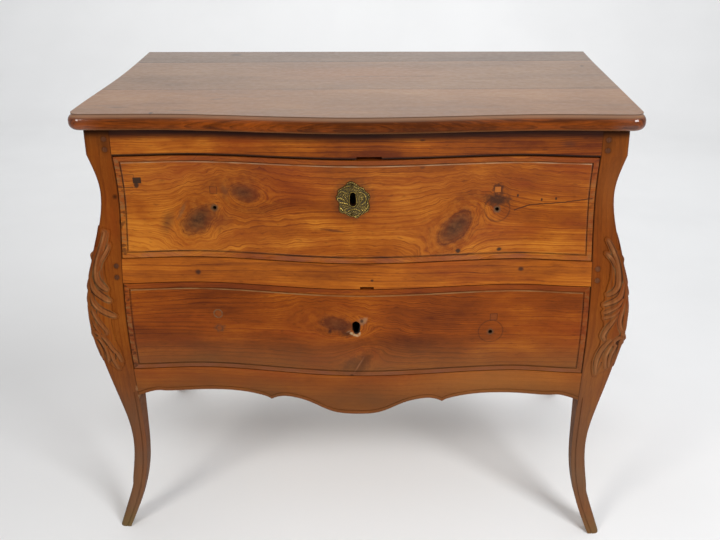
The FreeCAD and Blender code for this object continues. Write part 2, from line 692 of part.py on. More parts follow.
def lock(x, back, top, hole):
    """Plate, cap, screws and bolt of a drawer lock, and what it takes out of the drawer front."""
    half = LOCK_W / 2
    plate = box(x - half, x + half, back, back + LOCK_T, top - LOCK_H, top)
    selvage = box(x - half, x + half, back - SELVAGE_D, back, top - LOCK_T, top)
    bolt_y = back - BOLT_SET - BOLT_T
    bolt_end = bolt_y + BOLT_T
    reach = BOLT_W / 2
    slot_x = reach + BOLT_FIT
    slot = box(x - slot_x, x + slot_x, bolt_y - BOLT_FIT, bolt_end + BOLT_FIT, top - SLOT_OVER,
               top + SLOT_OVER)
    low = top - CAP_H
    under = top - LOCK_T
    cap_x = CAP_W / 2
    room_x = cap_x - CAP_WALL
    case = box(x - cap_x, x + cap_x, back - CAP_T, back, low, under)
    hollow = box(x - room_x, x + room_x, back - CAP_T + CAP_WALL, back, low + CAP_WALL, under)
    cap = case.cut([hollow, hole])
    body = joined([plate, selvage])
    body = body.cut(slot)
    bolt = box(x - reach, x + reach, bolt_y, bolt_end, top - BOLT_H, top - BOLT_FIT)
    screws = []
    holes = []
    face = back + LOCK_T
    for dx in (LOCK_SCREW_IN - half, half - LOCK_SCREW_IN):
        for dz in LOCK_SCREW_Z:
            shank = rod(x + dx, back - LOCK_SCREW_L, face, top - dz, LOCK_SCREW_R)
            head = rod(x + dx, face, face + NAIL_HEAD_T, top - dz, LOCK_SCREW_HEAD_R)
            screws.append(joined([shank, head]))
            holes.append(rod(x + dx, back - LOCK_SCREW_L, face, top - dz, LOCK_SCREW_R + PEG_FIT))
    body = body.cut(holes)
    return one(body), one(cap), Part.makeCompound(screws), bolt, [case, selvage] + holes


def bolt_mortise(x, back, z):
    """The mortise that a lock bolt rises into, in the rail above."""
    reach = BOLT_W / 2 + BOLT_MORTISE_FIT
    bolt_end = back - BOLT_SET
    front = bolt_end - BOLT_T - BOLT_MORTISE_FIT
    end = bolt_end + BOLT_MORTISE_FIT
    return box(x - reach, x + reach, front, end, z - 1, z + BOLT_TRAVEL + BOLT_MORTISE_OVER)


def plug(x, z):
    """A square plug in an old pull hole, flush with the shaped front."""
    deep = FRONT_Y + HOLLOW[1] + PLUG_L
    return box(x - PLUG / 2, x + PLUG / 2, -FAR, deep, z - PLUG / 2, z + PLUG / 2)


def escutcheon():
    """The cast plate round the upper keyhole, lying on the curved front."""
    x, z = UPPER_KEY
    right = [V(x + a, -FAR, z + b) for a, b in ESCUTCHEON]
    left = [V(x - a, -FAR, z + b) for a, b in ESCUTCHEON]
    ring = [through(right).toShape(), through(left).toShape()]
    plate = region(ring).extrude(V(0, FAR, 0))
    raised = swelling_front(ESCUTCHEON_T)
    return one(plate.common(raised).cut(FRONT))


def escutcheon_pins():
    """Two round-headed pins through the plate."""
    x, z = UPPER_KEY
    pins = []
    holes = []
    for dz in (-PIN_Z, PIN_Z):
        face = FRONT_Y - CREST_OUT + PIN_SEAT - ESCUTCHEON_T
        shank = rod(x, face, face + PIN_L, z + dz, PIN_R)
        head = Part.makeSphere(PIN_HEAD_R, V(x, face, z + dz))
        pins.append(joined([shank, head]))
        holes.append(rod(x, face - PIN_L, face + PIN_L, z + dz, PIN_R + PEG_FIT))
        holes.append(Part.makeSphere(PIN_HEAD_R + PEG_FIT, V(x, face, z + dz)))
    return pins, holes


def back_rail(z0, z1):
    """A rail between the rear posts, and its tenons."""
    bar = box(-OPEN_X, OPEN_X, BACK_RAIL_Y, REAR_POST_BACK, z0, z1)
    tenons = rail_tenons(z0, z1, BACK_TENON_Y)
    return joined([bar] + tenons), tenons


def notch(sizes, z):
    """A worn notch in the lower edge of a rail, over a keyhole."""
    left, right, behind, high = sizes
    return box(left, right, -FAR, FRONT_Y + behind, z - 1, z + high)


def save(name, shape):
    """Writes one named node."""
    shape.exportStep("parts/" + name + ".step")


os.makedirs("parts", exist_ok=True)

# Rails of the front
top_tenons = rail_tenons(BLOCK_Z, UNDER_TOP, TENON_Y)
mid_tenons = rail_tenons(MID_RAIL_Z, UPPER_Z, TENON_Y)
apron_tenons = rail_tenons(LOWER_Z - APRON_TENON_H, LOWER_Z, TENON_Y)
top_rail = joined([straight_front()] + top_tenons)
mid_rail = joined([front_slice(OPEN_X, MID_RAIL_Z, UPPER_Z, POST_BACK)] + mid_tenons)
apron = front_slice(OPEN_X, LOWER_Z - APRON_BLANK_H, LOWER_Z, POST_BACK)
apron = apron.cut([below_apron(), apron_bead()])
apron = joined([apron] + apron_tenons)

# Runners, guides, kickers
upper_runner, upper_stub, upper_rear_stub = runner(MID_RAIL_Z, UPPER_Z)
lower_runner, lower_stub, lower_rear_stub = runner(LOWER_Z - LOWER_RUNNER_H, LOWER_Z)
kick_x0 = OPEN_X - KICKER
kick_top = BLOCK_Z + KICKER
kick_bar = box(kick_x0, OPEN_X, POST_BACK, BACK_RAIL_Y, BLOCK_Z, kick_top)
kick_front = stub(kick_x0, OPEN_X, POST_BACK - STUB_L, POST_BACK, BLOCK_Z, kick_top)
kick_rear = stub(kick_x0, OPEN_X, BACK_RAIL_Y, BACK_RAIL_Y + KICK_STUB_L, BLOCK_Z, kick_top)
kicker = joined([kick_bar, kick_front, kick_rear])

# Back rails and boards
back_top_z = UNDER_TOP - BACK_RAIL_H
back_low_top = BACK_LOW_Z + BACK_RAIL_H
board_x = OPEN_X + BACK_BOARD_IN
board_z0 = back_low_top - BACK_BOARD_IN
board_z1 = back_top_z + BACK_BOARD_IN
board_end = BACK_BOARD_Y + BACK_BOARD_T
back_panel = box(-board_x, board_x, BACK_BOARD_Y, board_end, board_z0, board_z1)
back_top, back_top_tenons = back_rail(back_top_z, UNDER_TOP)
back_low, back_low_tenons = back_rail(BACK_LOW_Z, back_low_top)

# Stub mortises and lock mortises in the front rails
upper_mortise = bolt_mortise(UPPER_KEY[0], UPPER_FRONT_BACK, BLOCK_Z)
lower_mortise = bolt_mortise(LOWER_KEY[0], LOWER_FRONT_BACK, MID_RAIL_Z)
top_rail = top_rail.cut([kick_front, mirrored(kick_front), upper_mortise])
mid_rail = mid_rail.cut([upper_stub, mirrored(upper_stub), lower_mortise])
apron = apron.cut([lower_stub, mirrored(lower_stub)])
back_top = back_top.cut([kick_rear, mirrored(kick_rear), back_panel])
back_low = back_low.cut(back_panel)

# Worn notches under the rails, over the keyholes
top_rail = top_rail.cut(notch(UPPER_NOTCH, BLOCK_Z))
mid_rail = mid_rail.cut(notch(LOWER_NOTCH, MID_RAIL_Z))

# Pegs through the rail joints, flush with the posts
post_front = behind_front()
right_pegs = []
right_peg_holes = []
for z in PEG_Z:
    long_peg = rod(PEG_X, -FAR, TENON_Y + PEG_L, z, PEG_R)
    right_pegs.append(one(long_peg.common(post_front)))
    right_peg_holes.append(rod(PEG_X, -FAR, TENON_Y + PEG_L, z, PEG_R + PEG_FIT))
left_peg_holes = [mirrored(h) for h in right_peg_holes]
top_rail = one(top_rail.cut(right_peg_holes + left_peg_holes))
mid_rail = one(mid_rail.cut(right_peg_holes + left_peg_holes))
pegs = Part.makeCompound(right_pegs + [mirrored(p) for p in right_pegs])

# Dowels between the posts and the top
dowels = []
dowel_holes = []
for y in ((FRONT_Y + TENON_Y) / 2, (REAR_POST_FRONT + REAR_POST_BACK) / 2):
    for x in (-DOWEL_X, DOWEL_X):
        z0 = UNDER_TOP - DOWEL_DOWN
        dowels.append(Part.makeCylinder(DOWEL_R, DOWEL_L, V(x, y, z0)))
        dowel_holes.append(Part.makeCylinder(DOWEL_R + PEG_FIT, DOWEL_L, V(x, y, z0)))

# Posts and side panels
panel = side_panel()
front_post = rounded_post().cut(leg_bead())
front_joints = top_tenons + mid_tenons + apron_tenons + right_peg_holes + dowel_holes
front_post = one(front_post.cut(front_joints + [panel]))
rear_post = one(front_elevation().common(side_elevation_rear()))
rear_joints = back_top_tenons + back_low_tenons + [upper_rear_stub, lower_rear_stub, back_panel]
rear_post = one(rear_post.cut(rear_joints + dowel_holes + [panel]))

save("front_right_post", front_post)
save("front_left_post", mirrored(front_post))
save("rear_right_post", rear_post)
save("rear_left_post", mirrored(rear_post))
save("right_side_panel", panel)
save("left_side_panel", mirrored(panel))
save("front_top_rail", top_rail)
save("front_middle_rail", mid_rail)
save("front_apron", one(apron))
save("frame_pegs", pegs)
save("back_top_rail", one(back_top))
save("back_bottom_rail", one(back_low))

board_h = (board_z1 - board_z0) / BACK_BOARDS
for i, name in enumerate(("lower", "middle", "upper")):
    z = board_z0 + i * board_h
    save("back_board_" + name, box(-board_x, board_x, BACK_BOARD_Y, board_end, z, z + board_h))

save("upper_right_runner", upper_runner)
save("upper_left_runner", mirrored(upper_runner))
save("lower_right_runner", lower_runner)
save("lower_left_runner", mirrored(lower_runner))
save("right_kicker", kicker)
save("left_kicker", mirrored(kicker))
for name, z in (("upper", UPPER_Z), ("lower", LOWER_Z)):
    save(name + "_right_guide", guide(z))
    save(name + "_left_guide", mirrored(guide(z)))
    save(name + "_drawer_stops", stops(z))

# Top
top_front, top_middle, top_rear = top_boards()
save("top_board_front", one(top_front.cut(dowel_holes)))
save("top_board_middle", one(top_middle.cut(dowel_holes)))
save("top_board_rear", one(top_rear.cut(dowel_holes)))
save("top_dowels", Part.makeCompound(dowels))

# Drawers
plate = escutcheon()
pins, pin_holes = escutcheon_pins()
upper_hole = keyhole(UPPER_KEY, UPPER_KEYHOLE, -FAR, UPPER_FRONT_BACK - CAP_WALL)
lower_hole = keyhole(LOWER_KEY, LOWER_KEYHOLE, -FAR, LOWER_FRONT_BACK - CAP_WALL)
upper_plugs = [plug(-PULL_X, UPPER_PLUG_Z[0]), plug(PULL_X, UPPER_PLUG_Z[1])]
lower_plugs = [plug(-PULL_X, LOWER_PLUG_Z[0]), plug(PULL_X, LOWER_PLUG_Z[1])]
lower_plugs.append(rod(FILLED[0], -FAR, FRONT_Y + HOLLOW[1], FILLED[1], FILLED_R))
upper_open = [rod(x, -FAR, 0, z, PULL_HOLE_R) for x, z in UPPER_OPEN]
lower_open = [rod(x, -FAR, 0, z, PULL_HOLE_R) for x, z in LOWER_OPEN]
upper_cuts = [upper_hole] + upper_open + pin_holes
lower_cuts = [lower_hole] + lower_open
upper_top = BLOCK_Z - UPPER_TOP_GAP
lower_top = MID_RAIL_Z - LOWER_TOP_GAP
layout = [("upper", UPPER_Z, upper_top, UPPER_FRONT_BACK, UPPER_KEY, upper_plugs, upper_cuts),
          ("lower", LOWER_Z, lower_top, LOWER_FRONT_BACK, LOWER_KEY, lower_plugs, lower_cuts)]
for name, z0, top, back, key, plugs, cuts in layout:
    front, left, right, rear, bottom, nails = drawer_box(z0, top, back)
    body, cap, screws, bolt, pocket = lock(key[0], back, top, cuts[0])
    front = one(front.cut(cuts + plugs + pocket))
    save(name + "_drawer_front", front)
    save(name + "_drawer_left_side", left)
    save(name + "_drawer_right_side", right)
    save(name + "_drawer_back", rear)
    save(name + "_drawer_bottom", bottom)
    save(name + "_drawer_nails", nails)
    save(name + "_drawer_plugs", Part.makeCompound([one(p.common(FRONT)) for p in plugs]))
    save(name + "_lock_plate", body)
    save(name + "_lock_cap", cap)
    save(name + "_lock_screws", screws)
    save(name + "_lock_bolt", bolt)
save("upper_drawer_escutcheon", one(plate.cut([upper_hole] + pin_holes)))
save("upper_drawer_escutcheon_pins", Part.makeCompound(pins))
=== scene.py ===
"""Looks of a bombe chest: two drawers in polished cherry, carved front posts and a cast keyhole plate.

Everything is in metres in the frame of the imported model, with the front to -Y and the floor at z = 0.
Sizes of marks, carving and castings are written in millimetres, as they were measured.
"""

import json
import logging
import math
from dataclasses import dataclass
from enum import Enum
from typing import Any, Callable, Sequence, Union

import bpy
import numpy as np
from mathutils import Matrix, Vector
from mathutils.bvhtree import BVHTree

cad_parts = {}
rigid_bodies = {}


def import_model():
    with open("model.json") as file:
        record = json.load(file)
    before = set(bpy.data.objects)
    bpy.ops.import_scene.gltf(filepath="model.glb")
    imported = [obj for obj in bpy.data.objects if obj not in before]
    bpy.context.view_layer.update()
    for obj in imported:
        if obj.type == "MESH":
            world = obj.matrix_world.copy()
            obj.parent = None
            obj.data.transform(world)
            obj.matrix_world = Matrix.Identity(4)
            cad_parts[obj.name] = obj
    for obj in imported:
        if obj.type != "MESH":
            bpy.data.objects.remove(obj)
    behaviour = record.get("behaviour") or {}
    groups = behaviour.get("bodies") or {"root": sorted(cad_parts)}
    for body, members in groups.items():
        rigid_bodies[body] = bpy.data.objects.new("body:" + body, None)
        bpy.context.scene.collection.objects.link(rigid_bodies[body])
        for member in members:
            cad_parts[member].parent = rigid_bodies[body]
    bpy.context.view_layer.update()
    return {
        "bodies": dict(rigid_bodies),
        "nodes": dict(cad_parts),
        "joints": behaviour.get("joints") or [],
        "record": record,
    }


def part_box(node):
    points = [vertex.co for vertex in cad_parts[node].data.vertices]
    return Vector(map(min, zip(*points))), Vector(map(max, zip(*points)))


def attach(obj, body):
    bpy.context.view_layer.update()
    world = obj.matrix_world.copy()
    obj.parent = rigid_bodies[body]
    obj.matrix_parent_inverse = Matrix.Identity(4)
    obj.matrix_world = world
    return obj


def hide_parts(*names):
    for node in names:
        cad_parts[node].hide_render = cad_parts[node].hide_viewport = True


LOG = logging.getLogger("chest")
MM = 0.001
UP = 2
FAR = 1e3
INTO = Vector((0, 1, 0))
STROKE_POINTS = 90
Colour = tuple[float, float, float]
Point = tuple[float, float]
Row = tuple[float, float, float, float]
Frame = dict[str, Any]
Grid = np.ndarray
Material = bpy.types.Material
Socket = bpy.types.NodeSocket


def srgb(red: int, green: int, blue: int) -> Colour:
    """A screen colour, each part from 0 to 255, as linear light."""
    parts = (c / 255 for c in (red, green, blue))
    return tuple(c / 12.92 if c <= 0.04045 else ((c + 0.055) / 1.055) ** 2.4 for c in parts)


def toned(colour: Colour, factor: float) -> Colour:
    """A colour made darker or lighter."""
    return tuple(c * factor for c in colour)


def operator(operation: str, reflected: bool = False) -> Callable[..., "Val"]:
    """A method of Val that adds one Math node.

    Args:
        operation: The node's operation.
        reflected: Whether the other value comes first.

    Returns:
        The method.
    """
    def method(self: "Val", other: "Number" = 0.0) -> "Val":
        """The operation's result.

        Args:
            other: The second value, or none.

        Returns:
            The result.
        """
        first, second = (other, self) if reflected else (self, other)
        node = self.shader.add("ShaderNodeMath", {"operation": operation}, {0: first, 1: second})
        return Val(self.shader, node.outputs[0])

    return method


class Val:
    """A number socket of a shader that takes part in Python arithmetic."""

    __add__ = operator("ADD")
    __radd__ = operator("ADD", reflected=True)
    __sub__ = operator("SUBTRACT")
    __rsub__ = operator("SUBTRACT", reflected=True)
    __mul__ = operator("MULTIPLY")
    __truediv__ = operator("DIVIDE")
    __abs__ = operator("ABSOLUTE")
    most = operator("MAXIMUM")
    least = operator("MINIMUM")
    part = operator("FRACT")

    def __init__(self, shader: "Shader", socket: Socket) -> None:
        """Wraps a socket of a shader."""
        self.shader = shader
        self.socket = socket

    def smooth(self, start: float, end: float) -> "Val":
        """A soft step.

        Args:
            start: Where the step is 0.
            end: Where the step is 1, above or below start.

        Returns:
            The step's value.
        """
        sockets = {"Value": self, "From Min": start, "From Max": end}
        node = self.shader.add("ShaderNodeMapRange", {"interpolation_type": "SMOOTHSTEP"}, sockets)
        return Val(self.shader, node.outputs[0])


Number = Union[float, Val]
Place = tuple[Val, Val, Val]
Feed = Union[float, Val, Socket, tuple]


class Shader:
    """A material whose nodes are made by code."""

    def __init__(self, name: str) -> None:
        """Starts an empty material.

        Args:
            name: The material's name.
        """
        self.material = bpy.data.materials.new(name)
        self.material.use_nodes = True
        self.tree = self.material.node_tree
        self.tree.nodes.clear()

    def add(self, kind: str, settings: dict[str, Any] | None = None,
            sockets: dict[Any, Feed] | None = None) -> bpy.types.Node:
        """Adds one node of any kind.

        Args:
            kind: The node's type.
            settings: Its properties, set first; "stops" are a ramp's places and colours.
            sockets: Values or links of its inputs, by name or number.

        Returns:
            The node.
        """
        node = self.tree.nodes.new(kind)
        for key, value in (settings or {}).items():
            if key != "stops":
                setattr(node, key, value)
                continue
            marks = node.color_ramp.elements
            while len(marks) < len(value):
                marks.new(1.0)
            for mark, (place, colour) in zip(marks, value):
                mark.position = place
                mark.color = (*colour, 1.0)
        for key, value in (sockets or {}).items():
            self.feed(node.inputs[key], value)
        return node

    def feed(self, socket: Socket, value: Feed) -> None:
        """Sets an input's value or links it.

        Args:
            socket: The input.
            value: A number, a tuple, a value or an output.
        """
        if isinstance(value, Val):
            self.tree.links.new(value.socket, socket)
        elif isinstance(value, Socket):
            self.tree.links.new(value, socket)
        elif isinstance(value, tuple) and socket.type == "RGBA":
            socket.default_value = (*value, 1.0)
        else:
            socket.default_value = value

    def split(self, vector: Feed) -> Place:
        """The three parts of a vector."""
        node = self.add("ShaderNodeSeparateXYZ", None, {0: vector})
        return tuple(Val(self, out) for out in node.outputs)

    def vector(self, x: Number, y: Number, z: Number) -> Socket:
        """A vector of three values."""
        return self.add("ShaderNodeCombineXYZ", None, {0: x, 1: y, 2: z}).outputs[0]

    def place(self) -> Place:
        """The place on the piece, in metres of the shared frame at rest."""
        return self.split(self.add("ShaderNodeTexCoord").outputs["Object"])

    def facing(self) -> Place:
        """The surface's direction."""
        return self.split(self.add("ShaderNodeNewGeometry").outputs["Normal"])

    def length(self, vector: Feed) -> Val:
        """The length of a vector."""
        node = self.add("ShaderNodeVectorMath", {"operation": "LENGTH"}, {0: vector})
        return Val(self, node.outputs["Value"])

    def noise(self, x: Number, y: Number, z: Number, detail: float = 2.0, rough: float = 0.5) -> Val:
        """Cloudy noise from 0 to 1 at a scaled place, with finer layers of some strength."""
        sockets = {"Vector": self.vector(x, y, z), "Scale": 1.0, "Detail": detail, "Roughness": rough}
        return Val(self, self.add("ShaderNodeTexNoise", None, sockets).outputs[0])

    def clouds(self, place: Place, scale: float, detail: float = 2.0, rough: float = 0.5) -> Val:
        """Noise that is the same in all directions, with some clouds to the metre."""
        return self.noise(*(axis * scale for axis in place), detail, rough)

    def ramp(self, value: Val, stops: Sequence[tuple[float, Colour]]) -> Socket:
        """A colour from a row of colours."""
        return self.add("ShaderNodeValToRGB", {"stops": stops}, {0: value}).outputs[0]

    def mix(self, share: Number, first: Feed, second: Feed) -> Socket:
        """The second colour laid over the first by a share from 0 to 1."""
        return self.add("ShaderNodeMix", {"data_type": "RGBA"}, {0: share, 6: first, 7: second}).outputs[2]

    def over(self, colour: Feed, *coats: tuple[Number, Feed]) -> Feed:
        """A colour with others laid over it in turn.

        Args:
            colour: The colour below.
            coats: The share and the colour of each coat.

        Returns:
            The colour that shows.
        """
        for share, coat in coats:
            colour = self.mix(share, colour, coat)
        return colour

    def attribute(self, name: str) -> Val:
        """A number kept on the mesh's points, 0 where the mesh has none."""
        return Val(self, self.add("ShaderNodeAttribute", {"attribute_name": name}).outputs["Fac"])

    def bump(self, height: Val, strength: float, deep: float, base: Feed | None = None) -> Socket:
        """A surface direction from a height.

        Args:
            height: The height from 0 to 1.
            strength: How strong it looks.
            deep: What a height of 1 is in metres.
            base: The direction that it is laid on.

        Returns:
            The direction.
        """
        sockets: dict[Any, Feed] = {"Strength": strength, "Distance": deep, "Height": height}
        if base is not None:
            sockets["Normal"] = base
        return self.add("ShaderNodeBump", None, sockets).outputs[0]

    def soft_edges(self, radius: float) -> Socket:
        """A surface direction that rounds the edges by a radius in metres."""
        return self.add("ShaderNodeBevel", {"samples": 4}, {"Radius": radius}).outputs[0]

    def close(self, sockets: dict[Any, Feed]) -> Material:
        """Ends the material with one shader.

        Args:
            sockets: Values and links of the shader's inputs.

        Returns:
            The material.
        """
        shader = self.add("ShaderNodeBsdfPrincipled", None, sockets)
        self.add("ShaderNodeOutputMaterial", None, {"Surface": shader.outputs[0]})
        return self.material


class Grain(Enum):
    """Which way a piece's grain runs.

    Each way has the axes along, across and through the board, the axes of the face that marks are measured
    on, and the axis and sign that point into the chest from that face.
    """

    FRONT = ((0, 2, 1), (0, 2), (1, 1.0))
    TOP = ((0, 1, 2), (0, 1), (2, -1.0))
    UPRIGHT = ((2, 0, 1), (0, 2), (1, 1.0))
    SIDE = ((1, 2, 0), (1, 2), (0, 0.0))

    def __init__(self, axes: tuple[int, int, int], face: tuple[int, int], inward: tuple[int, float]) -> None:
        """Names the parts of a way.

        Args:
            axes: The axes along, across and through the board.
            face: The axes of the shown face.
            inward: The axis and sign that point into the chest.
        """
        self.axes = axes
        self.face = face
        self.inward = inward


class Face:
    """The two directions of a piece's shown face, for marks measured in millimetres."""

    FINE = 160.0
    SLOW = 34.0

    def __init__(self, shader: Shader, h: Val, v: Val) -> None:
        """Keeps the directions and makes a small wobble and a slow sway for the edges of marks.

        Args:
            shader: The piece's material.
            h: The place along the face.
            v: The place up the face.
        """
        self.shader = shader
        self.h = h
        self.v = v
        self.flat = shader.vector(h, v, 0.0)
        self.wobble = shader.noise(h * self.FINE, v * self.FINE, 0.0) - 0.5
        self.sway = shader.noise(h * self.SLOW, v * self.SLOW, 4.0) - 0.5

    def local(self, h: float, v: float, rh: float, rv: float, tilt: float = 0.0) -> Socket:
        """The place measured from a mark's middle, in the mark's own radii.

        Args:
            h: The middle along the face.
            v: The middle up the face.
            rh: The radius along the mark.
            rv: The radius across the mark.
            tilt: The mark's turn in degrees.

        Returns:
            The place.
        """
        sockets = {"Vector": self.flat, "Location": (h * MM, v * MM, 0.0),
                   "Rotation": (0.0, 0.0, math.radians(tilt)), "Scale": (rh * MM, rv * MM, 1.0)}
        return self.shader.add("ShaderNodeMapping", {"vector_type": "TEXTURE"}, sockets).outputs[0]

    def oval(self, h: float, v: float, rh: float, rv: float, tilt: float = 0.0) -> Val:
        """The distance from a mark's middle, 1 on its rim."""
        return self.shader.length(self.local(h, v, rh, rv, tilt))


@dataclass(frozen=True)
class Spot:
    """A soft oval stain, nail head or bruise."""

    h: float
    v: float
    rh: float
    rv: float
    colour: Colour
    strength: float = 0.9
    soft: float = 0.5
    tilt: float = 0.0
    ragged: float = 0.5

    def mask(self, face: Face) -> Val:
        """How much of the stain shows at a place."""
        reach = face.oval(self.h, self.v, self.rh, self.rv, self.tilt) + face.wobble * self.ragged
        return reach.smooth(1.0 + self.soft * 0.5, 1.0 - self.soft) * self.strength


@dataclass(frozen=True)
class Circle:
    """A thin ring pressed in by an old fitting."""

    h: float
    v: float
    radius: float
    wide: float
    colour: Colour
    strength: float = 0.6

    def mask(self, face: Face) -> Val:
        """How much of the ring shows at a place.

        Args:
            face: The piece's face.

        Returns:
            The share from 0 to 1.
        """
        off = abs(face.oval(self.h, self.v, self.radius, self.radius) - 1.0)
        broken = (face.wobble + 0.5).smooth(0.2, 0.6)
        return off.smooth(self.wide / self.radius, 0.0) * broken * self.strength


@dataclass(frozen=True)
class Joint:
    """The dark line round a square plug or an inlaid patch."""

    h: float
    v: float
    half_h: float
    half_v: float
    wide: float
    colour: Colour
    strength: float = 0.8
    fill: float = 0.0

    def mask(self, face: Face) -> Val:
        """How much of the line shows at a place.

        Args:
            face: The piece's face.

        Returns:
            The share from 0 to 1.
        """
        x, y, _ = face.shader.split(face.local(self.h, self.v, self.half_h, self.half_v))
        off = abs(x).most(abs(y)) - 1.0
        line = abs(off).smooth(self.wide / min(self.half_h, self.half_v), 0.0)
        return line.most(off.smooth(0.05, -0.05) * self.fill) * self.strength


@dataclass(frozen=True)
class Crack:
    """A thin crack or pencil line through a few points."""

    points: tuple[Point, ...]
    wide: float
    colour: Colour
    strength: float = 0.85
    wander: float = 1.0

    def mask(self, face: Face) -> Val:
        """How much of the crack shows at a place.

        Args:
            face: The piece's face.

        Returns:
            The share from 0 to 1.
        """
        shown: Number = 0.0
        for (h0, v0), (h1, v1) in zip(self.points, self.points[1:]):
            long = math.hypot(h1 - h0, v1 - v0)
            tilt = math.degrees(math.atan2(v1 - v0, h1 - h0))
            x, y, _ = face.shader.split(face.local(h0, v0, long, self.wide, tilt))
            near = abs(y + face.wobble * self.wander).smooth(1.0, 0.3)
            run = near * x.smooth(-0.01, 0.01) * x.smooth(1.01, 0.99)
            shown = run.most(shown)
        return shown * self.strength


Mark = Union[Spot, Circle, Joint, Crack]


@dataclass(frozen=True)
class Bead:
    """A drawer front's bead, rubbed in places, with soiling and painted shade in its groove and painted
    highlight lines beside it.
    """

    low: Point
    high: Point
    # light: the colour of a painted highlight line along the groove's outer edge.
    light: Colour
    groove_grime_and_shade: float = 1.0
    bead: float = 9.0
    groove: float = 3.0
    colour: Colour = srgb(104, 46, 20)
    dark: Colour = srgb(34, 19, 10)

    def lay(self, face: Face, colour: Feed, shown: Number) -> Feed:
        """Lays the bead's wear, the groove's soiling and painted shade, and painted highlight lines over a
        colour.

        Args:
            face: The drawer's face.
            colour: The wood's colour.
            shown: Where the face shows.

        Returns:
            The colour with both.
        """
        shader = face.shader
        h, v = face.h * (1 / MM), face.v * (1 / MM)
        left, right = h - self.low[0], self.high[0] - h
        below, above = v - self.low[1], self.high[1] - v
        edge = left.least(right).least(below.least(above))
        first, last, foot, top = ((side - edge).smooth(2.0, 0.5) for side in (left, right, below, above))
        ends = first.most(last * 0.6)
        patch = (shader.noise(face.h * 22.0, face.v * 40.0, 3.0, 3.0) - 0.5).smooth(-0.2, 0.2)
        speck = shader.noise(face.h * 60.0, face.v * 110.0, 8.0, 3.0)
        on_bead = edge.smooth(self.bead, self.bead - 1.5) * shown
        # The groove's dark line: painted shade with some grime.
        line = abs(edge - self.bead - 0.8).smooth(1.5, 0.4) * self.groove_grime_and_shade
        # A painted highlight line along the groove's outer edge, strongest along the top.
        far = abs(edge - self.bead - self.groove).smooth(1.1, 0.2) * (0.12 + top * 0.75)
        return shader.over(
            colour, (on_bead * (0.2 + patch * 0.25), self.colour),
            # A painted highlight along the bottom bead.
            (on_bead * foot * patch * 0.14, srgb(140, 100, 82)),
            (on_bead * ends * speck.smooth(0.5, 0.62) * 0.5, srgb(112, 84, 48)),
            (on_bead * ends * speck.smooth(0.46, 0.36) * 0.6, self.dark),
            (line * (0.5 + patch * 0.4) * shown, self.dark), (far * (0.3 + patch * 0.7) * shown, self.light))


@dataclass(frozen=True)
class Knot:
    """A knot: the grain parts round it, rings close on it and its heart is dark."""

    h: float
    v: float
    long: float
    short: float
    tilt: float
    dark: float
    core: float
    rings: float = 0.9

    def reach(self, face: Face) -> Val:
        """The distance from the knot's middle in its own radii, a little uneven."""
        return face.oval(self.h, self.v, self.long, self.short, self.tilt) * (1.0 + face.sway * 0.55)


@dataclass(frozen=True)
class Tone:
    """A broad part of a board whose figure is paler or deeper than the rest."""

    h: float
    v: float
    rh: float
    rv: float
    lift: float

    def shift(self, face: Face) -> Val:
        """How much paler a place is, below 0 where it is deeper."""
        return (face.oval(self.h, self.v, self.rh, self.rv) + face.sway * 0.6).smooth(1.5, 0.0) * self.lift


@dataclass(frozen=True)
class Fade:
    """A tone that grows with the height, up or down, such as soiling and painted floor light towards the
    feet, or painted shade under the top.
    """

    start: float
    end: float
    colour: Colour
    strength: float
    patchy: float = 0.5


WOOD_DARK = srgb(38, 17, 7)
# Grime and painted shade in the carving's hollows.
HOLLOW_GRIME_AND_SHADE = srgb(38, 21, 11)
NAIL = srgb(34, 24, 18)
# Painted shade inside the pull holes and keyholes.
HOLE_SHADE = srgb(14, 8, 5)


@dataclass(frozen=True)
class Finish:
    """A finish that makes one material."""

    name: str

    def build(self) -> Material:
        """Makes the material."""
        raise NotImplementedError(self.name)


